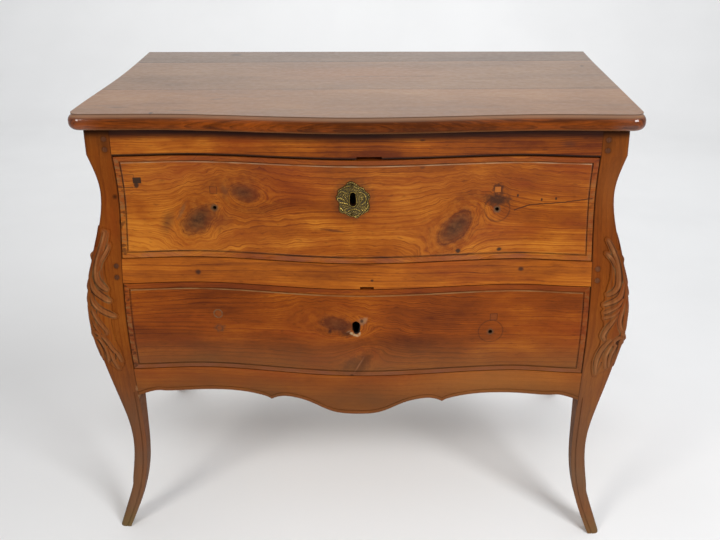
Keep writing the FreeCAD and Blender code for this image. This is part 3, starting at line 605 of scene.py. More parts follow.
@dataclass(frozen=True)
class Cherry(Finish):
    """Old polished cherry with growth lines, streaks, knots, dents and wear."""

    grain: Grain
    seed: float
    deep: Colour = srgb(82, 33, 7)
    warm: Colour = srgb(132, 66, 10)
    pale: Colour = srgb(170, 102, 28)
    ember: Colour = srgb(116, 42, 8)
    wave: float = 0.034
    rings: float = 110.0
    contrast: float = 1.0
    rough: float = 0.42
    shine: float = 0.1
    coat: float = 0.05
    coat_rough: float = 0.2
    knots: tuple[Knot, ...] = ()
    tones: tuple[Tone, ...] = ()
    marks: tuple[Mark, ...] = ()
    fades: tuple[Fade, ...] = ()
    bead: Bead | None = None
    nose: Colour | None = None
    nose_lip: tuple[float, float] = (0.8655, 0.8715)
    # nose_step: the heights of a painted shadow line at the step between the flat and the moulded edge.
    nose_step: tuple[float, float] = (0.8731, 0.8736)
    carved: bool = False
    edge: float = 0.0011

    def flow(self, face: Face, along: Val, across: Val, through: Val) -> tuple[Val, Number, Number]:
        """The line of growth that each place belongs to.

        Args:
            face: The face with the knots.
            along: The place along the grain.
            across: The place across the grain.
            through: The place through the board.

        Returns:
            The line's place across the board, how deep in a knot the place is, and how near to one.
        """
        shader = face.shader
        warp = shader.noise(along * 1.6 + self.seed, across * 5.0, through * 5.0) - 0.5
        line = across + through * 0.3 + warp * self.wave
        heart: Number = 0.0
        halo: Number = 0.0
        for knot in self.knots:
            reach = knot.reach(face)
            rise = face.v - knot.v * MM
            eye = (1.0 - reach.least(1.0)) * (knot.short * MM * knot.rings)
            line = line - rise / (reach * reach).most(1.0) + eye
            core = (reach + face.wobble * 0.35).smooth(knot.core * 1.9, knot.core * 0.1) * knot.dark
            heart = core.most(heart)
            halo = reach.smooth(2.1, 0.7).most(halo)
        return line, heart, halo

    def colour(self, face: Face, along: Val, line: Val, through: Val) -> tuple[Feed, Val, Val]:
        """The wood's colour without marks.

        Args:
            face: The face.
            along: The place along the grain.
            line: The line of growth.
            through: The place through the board.

        Returns:
            The colour, the tone from 0 to 1 and the fine fibre.
        """
        shader = face.shader
        streak = shader.noise(along * 2.6 + self.seed, line * 60.0, through * 16.0, 5.0, 0.6)
        cloud = shader.noise(along * 4.0, line * 9.0 + self.seed, through * 3.0, 3.0, 0.55)
        flame = shader.noise(along * 13.0 + self.seed, line * 30.0, through * 8.0, 4.0, 0.6)
        fibre = shader.noise(along * 30.0, line * 640.0, through * 300.0, 2.0, 0.7)
        red = shader.noise(along * 3.3 + self.seed * 2.0, line * 15.0, through * 4.0, 4.0, 0.6)
        pore = shader.noise(along * 70.0, line * 380.0, through * 90.0, 1.0)
        wide = (line * self.rings + (cloud - 0.5) * 2.6 + (streak - 0.5) * 0.7).part()
        fine = (line * (self.rings * 2.6) + (cloud - 0.5) * 4.0 + (streak - 0.5) * 1.4).part()
        late = wide.smooth(0.55, 0.96) * wide.smooth(1.0, 0.97) * streak.smooth(0.36, 0.6) * 0.2
        late = late + fine.smooth(0.55, 0.96) * fine.smooth(1.0, 0.96) * flame.smooth(0.38, 0.62) * 0.2
        tone = 0.5 + (streak - 0.5) * (0.6 * self.contrast) + (cloud - 0.5) * (1.0 * self.contrast)
        tone = tone + (flame - 0.5) * (0.7 * self.contrast) + (fibre - 0.5) * 0.3 - late * self.contrast
        for broad in self.tones:
            tone = tone + broad.shift(face)
        colour = shader.over(
            shader.ramp(tone, ((0.1, self.deep), (0.5, self.warm), (0.9, self.pale))),
            (red.smooth(0.5, 0.72) * 0.45, self.ember),
            (pore.smooth(0.62, 0.72) * (0.24 * self.contrast), toned(self.deep, 0.5)))
        return colour, tone, fibre

    def knotted(self, face: Face, colour: Feed, heart: Val, halo: Val) -> Feed:
        """Lays the knots' pale halo, dark heart and broken rim over the wood.

        Args:
            face: The face.
            colour: The wood's colour.
            heart: How deep in a knot the place is.
            halo: How near to a knot it is.

        Returns:
            The colour with the knots.
        """
        shader = face.shader
        ash = shader.noise(face.h * 70.0, face.v * 110.0, 5.0, 4.0, 0.65)
        grey = shader.mix(ash.smooth(0.28, 0.76), srgb(44, 24, 12), srgb(88, 54, 27))
        rim = heart.smooth(0.08, 0.3) * heart.smooth(0.6, 0.34) * ash.smooth(0.62, 0.4)
        return shader.over(
            colour, (halo * ash.smooth(0.4, 0.66) * 0.3, self.pale),
            (heart.smooth(0.0, 0.5) * 0.55, srgb(98, 38, 10)), (heart, grey), (rim * 0.2, srgb(48, 20, 9)))

    def moulded(self, shader: Shader, place: Place, tone: Val, colour: Feed) -> tuple[Feed, Val]:
        """Lays the redder moulded edge round the flat of the top, with a pale rubbed lip and a painted shadow
        line at the step.

        Args:
            shader: The material.
            place: The place in the frame.
            tone: The wood's tone.
            colour: The flat's colour.

        Returns:
            The colour, and how much polish there is.
        """
        flat = shader.facing()[UP].smooth(0.6, 0.93)
        dark, light = (toned(self.nose, factor) for factor in (0.45, 1.7))
        red = shader.ramp(tone, ((0.38, dark), (0.5, self.nose), (0.62, light)))
        # A pale rubbed lip, and a painted shadow line at the step.
        lip_wear_and_step_shadow = shader.over(red, (place[UP].smooth(*self.nose_lip) * 0.75, srgb(132, 102, 82)),
                           (place[UP].smooth(*self.nose_step) * 0.7, srgb(58, 40, 30)))
        rubbed = 0.05 + abs(place[0]).smooth(0.43, 0.475) * 0.8
        return shader.mix(flat, lip_wear_and_step_shadow, colour), rubbed + flat * (self.coat - rubbed)

    def dress(self, face: Face, colour: Feed, place: Place, shown: Number) -> Feed:
        """Lays fades, the bead, marks, and the carving's dust, soiling and painted shade in its hollows and
        painted highlight on its ridges over the wood.

        Args:
            face: The face.
            colour: The wood's colour.
            place: The place in the frame.
            shown: Where the shown face is.

        Returns:
            The colour with all of them.
        """
        shader = face.shader
        for fade in self.fades:
            patch = 1.0 + (shader.clouds(place, 9.0, 3.0) - 0.5) * (2.4 * fade.patchy)
            share = place[UP].smooth(fade.start, fade.end) * patch
            colour = shader.mix(share * fade.strength, colour, fade.colour)
        if self.bead is not None:
            colour = self.bead.lay(face, colour, shown)
        colour = shader.over(colour, *((mark.mask(face) * shown, mark.colour) for mark in self.marks))
        if self.carved:
            relief = shader.attribute("relief")
            dust = shader.noise(place[0] * 60.0, place[1] * 60.0, place[2] * 40.0, 3.0).smooth(0.42, 0.7)
            # Dust over the carving, grime and painted shade in its hollows, and a painted highlight with some
            # wear on its ridges.
            colour = shader.over(
                colour, (abs(relief).smooth(0.0, 0.3) * 0.22, srgb(114, 86, 60)),
                (relief.smooth(-0.02, -0.6) * 0.92, shader.mix(dust, HOLLOW_GRIME_AND_SHADE, srgb(92, 70, 42))),
                (relief.smooth(0.35, 1.0) * (0.1 + dust * 0.35), srgb(160, 112, 70)))
        return colour

    def build(self) -> Material:
        """Makes the material.

        Returns:
            The material.
        """
        shader = Shader(self.name)
        place = shader.place()
        along, across, through = (place[i] for i in self.grain.axes)
        face = Face(shader, *(place[i] for i in self.grain.face))
        line, heart, halo = self.flow(face, along, across, through)
        colour, tone, fibre = self.colour(face, along, line, through)
        if self.knots:
            colour = self.knotted(face, colour, heart, halo)
        axis, sign = self.grain.inward
        inward = (shader.facing()[axis] * sign).smooth(0.5, 0.9)
        coat: Number = self.coat
        if self.nose is not None:
            colour, coat = self.moulded(shader, place, tone, colour)
        colour = self.dress(face, colour, place, 1.0 - inward)
        colour = shader.mix(inward * 0.55, colour, srgb(126, 88, 54))
        pits = shader.clouds(place, 90.0, 3.0)
        rough = self.rough + (pits - 0.5) * 0.22 - (tone - 0.5) * 0.06 + inward * 0.25
        normal = shader.bump(fibre * 0.35 + pits * 0.65, 0.16, 0.0006, shader.soft_edges(self.edge))
        return shader.close({"Base Color": colour, "Roughness": rough, "Normal": normal,
                             "Specular IOR Level": self.shine, "Coat Weight": coat,
                             "Coat Roughness": self.coat_rough})


@dataclass(frozen=True)
class InnerWood(Finish):
    """Plain sawn wood of the inside: pale, dusty and unpolished."""

    grain: Grain
    seed: float
    pale: Colour = srgb(176, 142, 100)
    dark: Colour = srgb(116, 84, 52)

    def build(self) -> Material:
        """Makes the material.

        Returns:
            The material.
        """
        shader = Shader(self.name)
        place = shader.place()
        along, across, through = (place[i] for i in self.grain.axes)
        line = across + through * 0.4
        line = line + (shader.noise(along * 2.0 + self.seed, across * 6.0, through * 6.0) - 0.5) * 0.02
        streak = shader.noise(along * 4.0 + self.seed, line * 70.0, through * 40.0, 4.0, 0.6)
        fibre = shader.noise(along * 30.0, line * 700.0, through * 500.0, 2.0, 0.6)
        saw = (line * 120.0).part()
        tone = 0.5 + (streak - 0.5) * 1.3 + (fibre - 0.5) * 0.3 - saw.smooth(0.6, 1.0) * 0.16
        colour = shader.ramp(tone, ((0.1, self.dark), (0.85, self.pale)))
        dust = shader.clouds(place, 7.0, 4.0).smooth(0.45, 0.75)
        normal = shader.bump(fibre * 0.6 + streak * 0.4, 0.3, 0.0008, shader.soft_edges(0.0008))
        return shader.close({"Base Color": shader.mix(dust * 0.45, colour, srgb(92, 70, 50)),
                             "Roughness": 0.72 + (streak - 0.5) * 0.2, "Normal": normal})


@dataclass(frozen=True)
class ForgedIron(Finish):
    """Dark forged iron with brown rust."""

    def build(self) -> Material:
        """Makes the material.

        Returns:
            The material.
        """
        shader = Shader(self.name)
        place = shader.place()
        rust = shader.clouds(place, 120.0, 5.0, 0.65)
        grain = shader.clouds(place, 900.0)
        red = rust.smooth(0.45, 0.68)
        normal = shader.bump(rust * 0.7 + grain * 0.3, 0.35, 0.0006, shader.soft_edges(0.0005))
        return shader.close({"Base Color": shader.mix(red, srgb(62, 57, 53), srgb(98, 58, 34)),
                             "Metallic": 0.85 - red * 0.7, "Roughness": 0.45 + red * 0.35, "Normal": normal})


@dataclass(frozen=True)
class CastBrass(Finish):
    """Cast brass with dark patina in the hollows and rubbed ridges."""

    def build(self) -> Material:
        """Makes the material.

        Returns:
            The material.
        """
        shader = Shader(self.name)
        place = shader.place()
        pit = shader.clouds(place, 420.0, 4.0, 0.7)
        patch = shader.clouds(place, 70.0, 3.0)
        relief = shader.attribute("relief") + (pit - 0.5) * 1.5 + (patch - 0.5) * 0.6
        rubbed = relief.smooth(0.05, 0.75)
        dirty = relief.smooth(0.05, -0.4)
        colour = shader.over(srgb(74, 57, 21), (rubbed, srgb(164, 138, 68)), (dirty * 0.95, srgb(21, 17, 9)))
        return shader.close({"Base Color": colour, "Metallic": 0.92 - dirty * 0.55,
                             "Roughness": 0.52 - rubbed * 0.24, "Normal": shader.bump(pit, 0.5, 0.0005)})


@dataclass(frozen=True)
class StudioPaper(Finish):
    """Pale paper of the floor and the backdrop, with painted shade to the left and under the chest and
    painted light on the floor in front of it.
    """

    tone: Colour

    def build(self) -> Material:
        """Makes the material.

        Returns:
            The material.
        """
        shader = Shader(self.name)
        place = shader.place()
        x, y, _ = place
        cloud = shader.clouds(place, 1.7, 4.0)
        # Painted shade to the left and under the chest, and painted light on the floor in front of it.
        left = x.smooth(-0.3, -1.2) * y.smooth(1.2, -0.2)
        under = (x * x / 0.16 + (y - 0.26) * (y - 0.26) / 0.07).smooth(1.6, 0.0)
        front = y.smooth(0.22, -0.18) * x.smooth(-0.55, -0.1) * x.smooth(0.72, 0.3)
        coats = ((cloud.smooth(0.3, 0.7), 0.96), (left, 0.72), (under * 0.45, 0.6), (front * 0.85, 1.12))
        colour = shader.over(self.tone, *((share, toned(self.tone, factor)) for share, factor in coats))
        return shader.close({"Base Color": colour, "Roughness": 0.62 + cloud * 0.15,
                             "Normal": shader.bump(shader.clouds(place, 300.0), 0.08, 0.0004)})


def dress(frame: Frame, finish: Finish, *nodes: str) -> Material:
    """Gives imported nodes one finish.

    Args:
        frame: The loaded frame.
        finish: The finish.
        nodes: The nodes' names.

    Returns:
        The finish's material.
    """
    material = finish.build()
    for node in nodes:
        slots = frame["nodes"][node].data.materials
        slots.clear()
        slots.append(material)
        LOG.info("%s: %s", node, material.name)
    return material


def curve_through(points: Sequence[Sequence[float]], count: int, closed: bool = False) -> Grid:
    """Points along a smooth curve through a few rows of numbers.

    Args:
        points: The rows that the curve passes through.
        count: How many points are wanted.
        closed: Whether the last row runs on to the first.

    Returns:
        One row for each point.
    """
    rows = np.array(points, float)
    if closed:
        rows = np.vstack([rows[-1:], rows, rows[:2]])
    else:
        rows = np.vstack([2 * rows[0] - rows[1], rows, 2 * rows[-1] - rows[-2]])
    spans = len(rows) - 3
    place = np.linspace(0.0, spans, count, endpoint=not closed)
    first = np.minimum(place.astype(int), spans - 1)
    t = (place - first)[:, None]
    a, b, c, d = (rows[first + k] for k in range(4))
    square, cube = 2 * a - 5 * b + 4 * c - d, 3 * b - a - 3 * c + d
    return 0.5 * (2 * b + (c - a) * t + square * t ** 2 + cube * t ** 3)


@dataclass(frozen=True)
class Stroke:
    """One raised strand of carving or casting.

    Its rows are two places, the half width and the height, in millimetres.
    """

    rows: tuple[Row, ...]

    def hollow(self) -> "Stroke":
        """The narrow hollow that the gouge leaves down the strand's middle."""
        return Stroke(tuple((a + 0.5, b + 0.3, 0.42 * wide, 0.34 * tall) for a, b, wide, tall in self.rows))

    def lay(self, h: Grid, v: Grid, flip: float = 1.0,
            broad: float = 1.0) -> tuple[Grid, Grid]:
        """Lays the strand over a grid.

        Args:
            h: First place of each grid point.
            v: Second place of each grid point.
            flip: -1 for the strand's mirrored twin.
            broad: How much wider than written the strand is cut.

        Returns:
            The strand's height, and the distance from its side, at each grid point.
        """
        high = np.zeros(h.shape)
        off = np.full(h.shape, FAR)
        for a, b, wide, tall in curve_through(self.rows, STROKE_POINTS):
            away = np.hypot(h - flip * a, v - b)
            out = np.clip(away / max(wide * broad, 0.05), 0.0, 1.0)
            high = np.maximum(high, tall * (1.0 - 0.45 * out - 0.55 * out ** 2))
            off = np.minimum(off, away - wide * broad)
        return high, off


def strokes(*rows: tuple[Row, ...]) -> tuple[Stroke, ...]:
    """Strands from their rows."""
    return tuple(Stroke(row) for row in rows)


def standing(high: Grid, rounds: int, full: float) -> Grid:
    """How far the heights of a grid stand out of their surroundings.

    Args:
        high: The heights.
        rounds: How often each height is averaged with its neighbours to find the surroundings.
        full: The difference that counts as 1.

    Returns:
        Numbers from -1 in hollows to 1 on ridges.
    """
    soft = high
    for _ in range(rounds):
        wide = np.pad(soft, 1, mode="edge")
        soft = (wide[:-2, 1:-1] + wide[2:, 1:-1] + wide[1:-1, :-2] + wide[1:-1, 2:] + soft * 2) / 6
    return np.clip((high - soft) / full, -1.0, 1.0)


def new_piece(name: str, points: Grid, faces: Sequence[Sequence[int]], relief: Grid | None,
              finish: Material) -> bpy.types.Object:
    """A smooth-shaded mesh object.

    Args:
        name: The piece's name.
        points: Its vertices.
        faces: Its faces.
        relief: A number for each vertex, kept on the mesh.
        finish: Its material.

    Returns:
        The object.
    """
    mesh = bpy.data.meshes.new(name)
    mesh.from_pydata([tuple(p) for p in points], [], [tuple(f) for f in faces])
    if relief is not None:
        mesh.attributes.new("relief", "FLOAT", "POINT").data.foreach_set("value", relief.astype(np.float32))
    mesh.polygons.foreach_set("use_smooth", [True] * len(mesh.polygons))
    mesh.materials.append(finish)
    mesh.validate()
    mesh.update()
    piece = bpy.data.objects.new(name, mesh)
    bpy.context.scene.collection.objects.link(piece)
    LOG.info("%s: %d faces", name, len(faces))
    return piece


class Solid:
    """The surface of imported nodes, for laying detail on it."""

    def __init__(self, *nodes: bpy.types.Object) -> None:
        """Reads the meshes of one or more nodes.

        Args:
            nodes: The nodes.
        """
        points: list[Vector] = []
        faces: list[list[int]] = []
        for node in nodes:
            start = len(points)
            points += [v.co for v in node.data.vertices]
            faces += [[start + i for i in p.vertices] for p in node.data.polygons]
        self.tree = BVHTree.FromPolygons(points, faces)

    def hit(self, start: Vector, way: Vector) -> Vector | None:
        """Where a ray first meets the surface, or None."""
        return self.tree.ray_cast(start, way)[0]


LEFT_STRANDS = strokes(
    ((9, 650, 1.2, 0.8), (13, 645, 2.4, 2), (13, 630, 2.8, 2.6), (11, 612, 3, 3), (9.5, 596, 3.4, 3.4),
     (10, 578, 3.8, 3.8), (14, 562, 4.4, 4.4), (21, 552, 4.4, 4.2), (29, 545, 3.6, 3.4),
     (34, 542, 2, 1.8)),
    ((18, 648, 1, 0.6), (17.5, 636, 1.9, 1.6), (16.5, 622, 2.1, 2), (14.5, 606, 2.2, 2.2),
     (13, 592, 2, 2)),
    ((25, 625, 1.2, 0.8), (23, 614, 2.5, 2.4), (18.5, 603, 2.9, 2.8), (15, 592, 2.7, 2.6),
     (14, 578, 2, 2)),
    ((3, 562, 3.2, 2.6), (7, 549, 4.2, 4), (14, 538.5, 4.8, 4.8), (24, 530, 4.4, 4.4), (34, 523, 3.6, 3.6),
     (40, 520, 2, 1.8)),
    ((5, 533, 3, 2.2), (9, 519, 4, 3.6), (18, 507, 4.6, 4.4), (30, 498, 4.2, 4), (42, 492, 3.4, 3),
     (49, 489.5, 1.8, 1.6)),
    ((6, 508, 2.8, 2), (10, 494, 3.2, 2.8), (16, 480, 3.2, 3), (22, 468, 3, 2.8), (27, 458, 2.6, 2.4),
     (25, 451, 2.2, 1.8), (20, 452, 1.6, 1.4)),
    ((2, 500, 2.6, 1.8), (6, 480, 2.9, 2.2), (10, 464, 2.9, 2.4), (14, 454, 2.2, 2)),
    ((-3, 462, 3.2, 2.6), (6, 456, 3.4, 3.2), (12, 449, 3.2, 3), (9, 442, 2.6, 2.4), (3, 444, 2.4, 2.2)),
    ((9, 444, 2.6, 2.4), (14, 430, 3, 3), (17, 414, 3.2, 3.2), (16, 400, 2.8, 2.8), (12, 388, 1.8, 1.4)),
    ((16, 448, 2.6, 2.2), (23, 434, 3, 2.8), (28, 418, 3, 2.8), (35, 404, 2.7, 2.2), (37, 390, 2, 1.4)),
    ((20, 424, 2.2, 2), (22.5, 406, 2.8, 2.6), (23, 390, 2.8, 2.4), (26, 372, 1.8, 1.2)),
    ((2, 436, 2.4, 2), (5, 424, 2.6, 2.2), (6, 410, 2.2, 1.6), (4, 398, 1.4, 0.8)),
)
LEFT_GOUGES = strokes(
    ((31, 407, 1.8, 1.6), (29.5, 401, 2.7, 2.4), (27.5, 394, 1.8, 1.6)),
    ((13.5, 390, 1.2, 1), (13, 386, 1.7, 1.5)),
    ((15.5, 503, 1.6, 1.4), (14, 499, 2.4, 2), (15, 494, 1.4, 1.2)),
)
LEFT_KNOBS = strokes(
    ((-8, 608, 2.4, 1.6), (-9, 601, 4.6, 4.8), (-8, 594, 2.4, 1.6)),
    ((-7, 455, 3, 2.4), (-9, 446, 4.8, 4.6), (-7, 437, 3, 2.2)),
)
RIGHT_STRANDS = strokes(
    ((18.5, 638, 1.2, 0.8), (16, 633, 2.2, 2.2), (12.5, 620, 2.6, 2.8), (10, 605, 3, 3.4),
     (9.5, 588, 3.6, 4), (11, 570, 4, 4.4), (14, 556, 4, 4.4), (21, 546, 3.7, 3.8), (29, 541, 3, 2.8),
     (34, 539.5, 1.8, 1.4)),
    ((25, 614, 1.2, 0.8), (21, 610, 2.3, 2.2), (15.5, 602, 2.7, 2.8), (12, 590, 2.4, 2.6)),
    ((4, 558, 3.2, 2.6), (8, 545, 3.8, 3.8), (13, 535, 4.2, 4.4), (23, 527.5, 3.8, 4),
     (34, 522.5, 2.8, 2.8), (41, 520, 1.8, 1.4)),
    ((8, 530, 3.2, 2.4), (16, 519, 3.6, 3), (26, 511.5, 3.3, 2.8), (36, 506, 2.6, 2.2), (41, 504, 1.6, 1)),
    ((11, 515, 2.8, 2), (19, 504.5, 3.2, 2.6), (28, 498, 2.8, 2.4), (39, 494.5, 2, 1.5)),
    ((2, 535, 3, 2.4), (7, 515, 3.4, 3), (10.5, 498, 3.4, 3.2), (11, 484, 3.2, 3), (6, 470, 3, 2.8),
     (-2, 461, 3, 2.6)),
    ((18, 497, 2.4, 2), (26, 484, 3.2, 2.8), (33, 471, 3.4, 3), (37, 458, 3, 2.6), (33, 449, 2.2, 1.8)),
    ((-2, 454, 3.2, 2.8), (6, 452.5, 3.2, 3), (13.5, 447, 3, 2.8), (14, 439, 2.5, 2.4), (9, 434.5, 2, 2)),
    ((15, 444, 2.6, 2.4), (20, 430, 2.9, 2.8), (22, 414, 3, 3), (19.5, 398, 2.8, 2.6),
     (15, 384, 1.8, 1.4)),
    ((22, 448, 2.6, 2.2), (30, 434, 3.2, 2.8), (35, 418, 3.3, 3), (36, 400, 3, 2.6), (33, 382, 2.4, 1.8),
     (29, 369, 1.6, 0.8)),
    ((10, 432, 2.3, 2), (13, 416, 2.6, 2.4), (13, 402, 2.4, 2), (10, 388, 1.6, 1)),
)
RIGHT_GOUGES = strokes(
    ((26, 398, 1.6, 1.4), (26, 387, 2.7, 2.4), (26.5, 375, 1.6, 1.4)),
    ((8, 444.5, 2, 2), (8, 442, 3.2, 3), (8, 439.5, 2, 2)),
)
RIGHT_KNOBS = strokes(
    ((-8, 606, 2.4, 1), (-9, 600, 4.4, 2.8), (-8, 594, 2.4, 1)),
    ((-6, 456, 3.4, 3), (-8, 446, 5.6, 6), (-6, 436, 3.4, 2.8)),
)
LEAF_BODY = strokes(
    ((0, 610, 3, 0.3), (0, 584, 4.4, 0.8), (0, 556, 5.4, 2.2), (0, 520, 6, 2.4), (0, 470, 5.6, 2.4),
     (0, 446, 5, 2.8), (0, 425, 3.4, 1.4), (0, 400, 2, 0.5)),
    ((8, 612, 5, 0.5), (10, 570, 10, 1.2), (16, 535, 15, 1.4), (18, 505, 17, 1.3), (18, 475, 14, 0.9),
     (19, 440, 13, 0.9), (23, 410, 13, 0.8), (26, 385, 8, 0.5)),
)


@dataclass
class CarvedLeaf:
    """A carved leaf laid round the rounded corner of a front post."""

    name: str
    side: int
    post: str
    panel: str
    strands: tuple[Stroke, ...]
    gouges: tuple[Stroke, ...]
    knobs: tuple[Stroke, ...]
    low: float = 360.0
    high: float = 656.0
    reach: float = 58.0
    step: float = 1.0
    skin: float = 0.1
    sunk: float = 0.4
    margin: float = 4.6
    rim: float = 3.2
    broad: float = 1.22
    core: float = 35.0
    front_x: float = 0.434
    turn: float = 84.0
    rays: int = 113
    ray_start: float = 0.12
    thick: float = 0.0018
    shallow_rows: tuple[float, float] = (556.0, 588.0)
    shallow_share: tuple[float, float] = (1.0, 0.3)
    blur: int = 18
    full: float = 0.8

    def ground(self, post: Solid) -> tuple[Grid, Grid, Grid]:
        """The post's surface round its corner.

        Args:
            post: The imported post.

        Returns:
            The distance from the corner of each column, the height of each row and the grid of places.
        """
        columns = np.arange(-self.reach, self.reach + 0.5 * self.step, self.step)
        rows = np.arange(self.low, self.high + 0.5 * self.step, self.step)
        turns = -math.pi / 4 - np.radians(np.linspace(-self.turn, self.turn, self.rays))
        ways = [Vector((self.side * math.cos(turn), math.sin(turn), 0.0)) for turn in turns]
        grid = np.zeros((len(rows), len(columns), 3))
        for i, z in enumerate(rows * MM):
            front = post.hit(Vector((self.side * self.front_x, -1.0, z)), INTO).y
            side = post.hit(Vector((self.side, front + self.core * MM, z)), Vector((-self.side, 0, 0))).x
            middle = Vector((side - self.side * self.core * MM, front + self.core * MM, z))
            hits = [post.hit(middle + way * self.ray_start, -way) for way in ways]
            corner = sum(place is not None for place in hits[:self.rays // 2])
            ring = np.array([place for place in hits if place is not None], float)
            run = np.concatenate([[0.0], np.cumsum(np.linalg.norm(np.diff(ring, axis=0), axis=1))])
            run = (run - run[corner]) / MM
            for k in range(3):
                grid[i, :, k] = np.interp(columns, run, ring[:, k])
        return columns, rows, grid

    def heights(self, h: Grid, v: Grid) -> tuple[Grid, Grid]:
        """The carving's height over the post.

        Args:
            h: The distance from the corner of each grid point.
            v: The height of each grid point.

        Returns:
            The carving's height, and the distance from the nearest strand.
        """
        high = np.zeros(h.shape)
        off = np.full(h.shape, FAR)
        shallow = np.interp(v, self.shallow_rows, self.shallow_share)
        for stroke in self.strands + LEAF_BODY:
            for flip, share in ((1.0, 1.0), (-1.0, shallow)):
                raised, away = stroke.lay(h, v, flip, self.broad)
                high = np.maximum(high, raised * share)
                off = np.minimum(off, away)

        def cut(lines: Sequence[Stroke]) -> Grid:
            """The height after cutting lines and their mirrored twins out of it.

            Args:
                lines: What is cut.

            Returns:
                The height that is left.
            """
            left = high
            for line in lines:
                for flip in (1.0, -1.0):
                    left = np.maximum(left - line.lay(h, v, flip)[0], 0.0)
            return left

        high = cut([stroke.hollow() for stroke in self.strands])
        for knob in self.knobs:
            high = np.maximum(high, knob.lay(h, v)[0])
        return cut(self.gouges), off

    def build(self, frame: Frame, finish: Material) -> None:
        """Makes the leaf and lets it ride on the carcass.

        Args:
            frame: The loaded frame.
            finish: The post's own material.
        """
        columns, rows, grid = self.ground(Solid(*(frame["nodes"][n] for n in (self.post, self.panel))))
        high, off = self.heights(*np.meshgrid(columns, rows))
        normal = np.cross(np.gradient(grid, axis=1), np.gradient(grid, axis=0))
        normal /= np.linalg.norm(normal, axis=2, keepdims=True)
        outward = np.array([self.side, -1.0, 0.0])
        normal *= np.sign(normal @ outward)[..., None]
        rim = np.clip((self.margin - off) / self.rim, 0.0, 1.0)
        lift = high + self.skin * rim - self.sunk * (1.0 - rim)
        # From -1 in hollows to 1 on ridges: the finish paints shade in the hollows and a highlight on the
        # ridges from it.
        relief = standing(high, self.blur, self.full) * rim
        points = grid + normal * (lift * MM)[..., None]
        kept = off < self.margin
        kept[[0, -1], :] = False
        kept[:, [0, -1]] = False
        wide = len(columns)
        order = (0, 1, wide + 1, wide) if self.side > 0 else (0, wide, wide + 1, 1)
        whole = kept[:-1, :-1] & kept[1:, :-1] & kept[:-1, 1:] & kept[1:, 1:]
        faces = np.array([[i * wide + j + k for k in order] for i, j in zip(*np.nonzero(whole))])
        used = np.unique(faces)
        number = np.full(off.size, -1)
        number[used] = np.arange(len(used))
        leaf = new_piece(self.name, points.reshape(-1, 3)[used], number[faces], relief.ravel()[used], finish)
        back = leaf.modifiers.new("thickness", "SOLIDIFY")
        back.thickness = self.thick
        back.offset = -1.0
        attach(leaf, "carcass")


PLATE_OUTLINE = (
    (-2.7, 34.5), (6.4, 29.5), (12.5, 23.8), (19, 21.3), (23.4, 14.4), (28.8, 10), (30.8, 3.1),
    (28.2, -4.4), (30.4, -14.4), (27.6, -22.8), (20.3, -26.4), (13.7, -30.7), (7.6, -35.6), (0.4, -33.2),
    (-6.9, -32.2), (-14.2, -27.6), (-22, -26), (-25.7, -18.2), (-25, -8.2), (-30.6, 1.9), (-27.3, 9.4),
    (-26.6, 17), (-21, 20.7), (-14.2, 25.4), (-8.7, 32),
)
PLATE_STROKES = strokes(
    ((-9.5, -23.5, 1.2, 1), (-5.5, -20.6, 1.6, 1.7), (0, -18.8, 1.8, 2), (6.4, -18.6, 1.8, 2),
     (12.8, -22.4, 1.2, 1)),
    ((-8, -26, 1.2, 0.8), (-3, -30, 1.8, 1.4), (2, -31.6, 2, 1.6), (8, -30, 1.8, 1.4),
     (13, -26, 1.2, 0.8)),
    ((-15, 21.6, 1.4, 0.8), (-9, 24.6, 2, 1.5), (-2, 25.2, 2.2, 1.7), (5, 22.4, 2, 1.5),
     (11, 19.4, 1.4, 0.9)),
    ((-8, 29.6, 1.2, 0.8), (-3, 32, 1.8, 1.4), (3, 29.4, 1.6, 1.2), (7, 25.8, 1.2, 0.8)),
    ((-25, 11, 1.4, 0.9), (-20, 14, 2, 1.6), (-14, 12.6, 2, 1.6), (-10.5, 8, 1.4, 1)),
    ((-17, 8, 1.2, 0.8), (-13, 2, 1.7, 1.5), (-9.2, -4.6, 1.3, 1.1)),
    ((-28.6, 1.6, 1.6, 1), (-23, 1.4, 2.4, 1.6), (-18, -1.2, 2.2, 1.4), (-14.6, -4.6, 1.4, 0.8)),
    ((-24, -7.2, 1.4, 1), (-18, -6.8, 1.9, 1.7), (-12, -8.4, 1.8, 1.5), (-8, -11, 1.2, 0.9)),
    ((-23.6, -11.6, 1.4, 0.9), (-22, -18, 2, 1.5), (-16, -20.6, 2, 1.5), (-11, -17.2, 1.5, 1)),
    ((10, 13, 1.3, 0.9), (17, 11.6, 2, 1.6), (23, 5, 2.2, 1.8), (22.4, -4, 2, 1.6), (15.6, -10, 1.4, 1)),
    ((25.6, -7.6, 1.4, 0.8), (26.2, -14.4, 2, 1.4), (22, -20.4, 1.9, 1.4), (16, -20.2, 1.4, 0.9)),
    ((12, 4.6, 1.2, 0.8), (16.6, 1, 1.8, 1.4), (14, -4.6, 1.4, 1)),
    ((10.4, 20.6, 1.6, 1.6), (10.8, 20.4, 1.6, 1.6)),
    ((-21.4, 18, 1.5, 1.4), (-21, 17.8, 1.5, 1.4)),
    ((-17.6, -23.6, 1.4, 1.2), (-17.2, -23.8, 1.4, 1.2)),
    ((19.4, -23.4, 1.4, 1.2), (19.8, -23.2, 1.4, 1.2)),
    ((26.6, 8, 1.4, 1.2), (26.8, 7.8, 1.4, 1.2)),
)


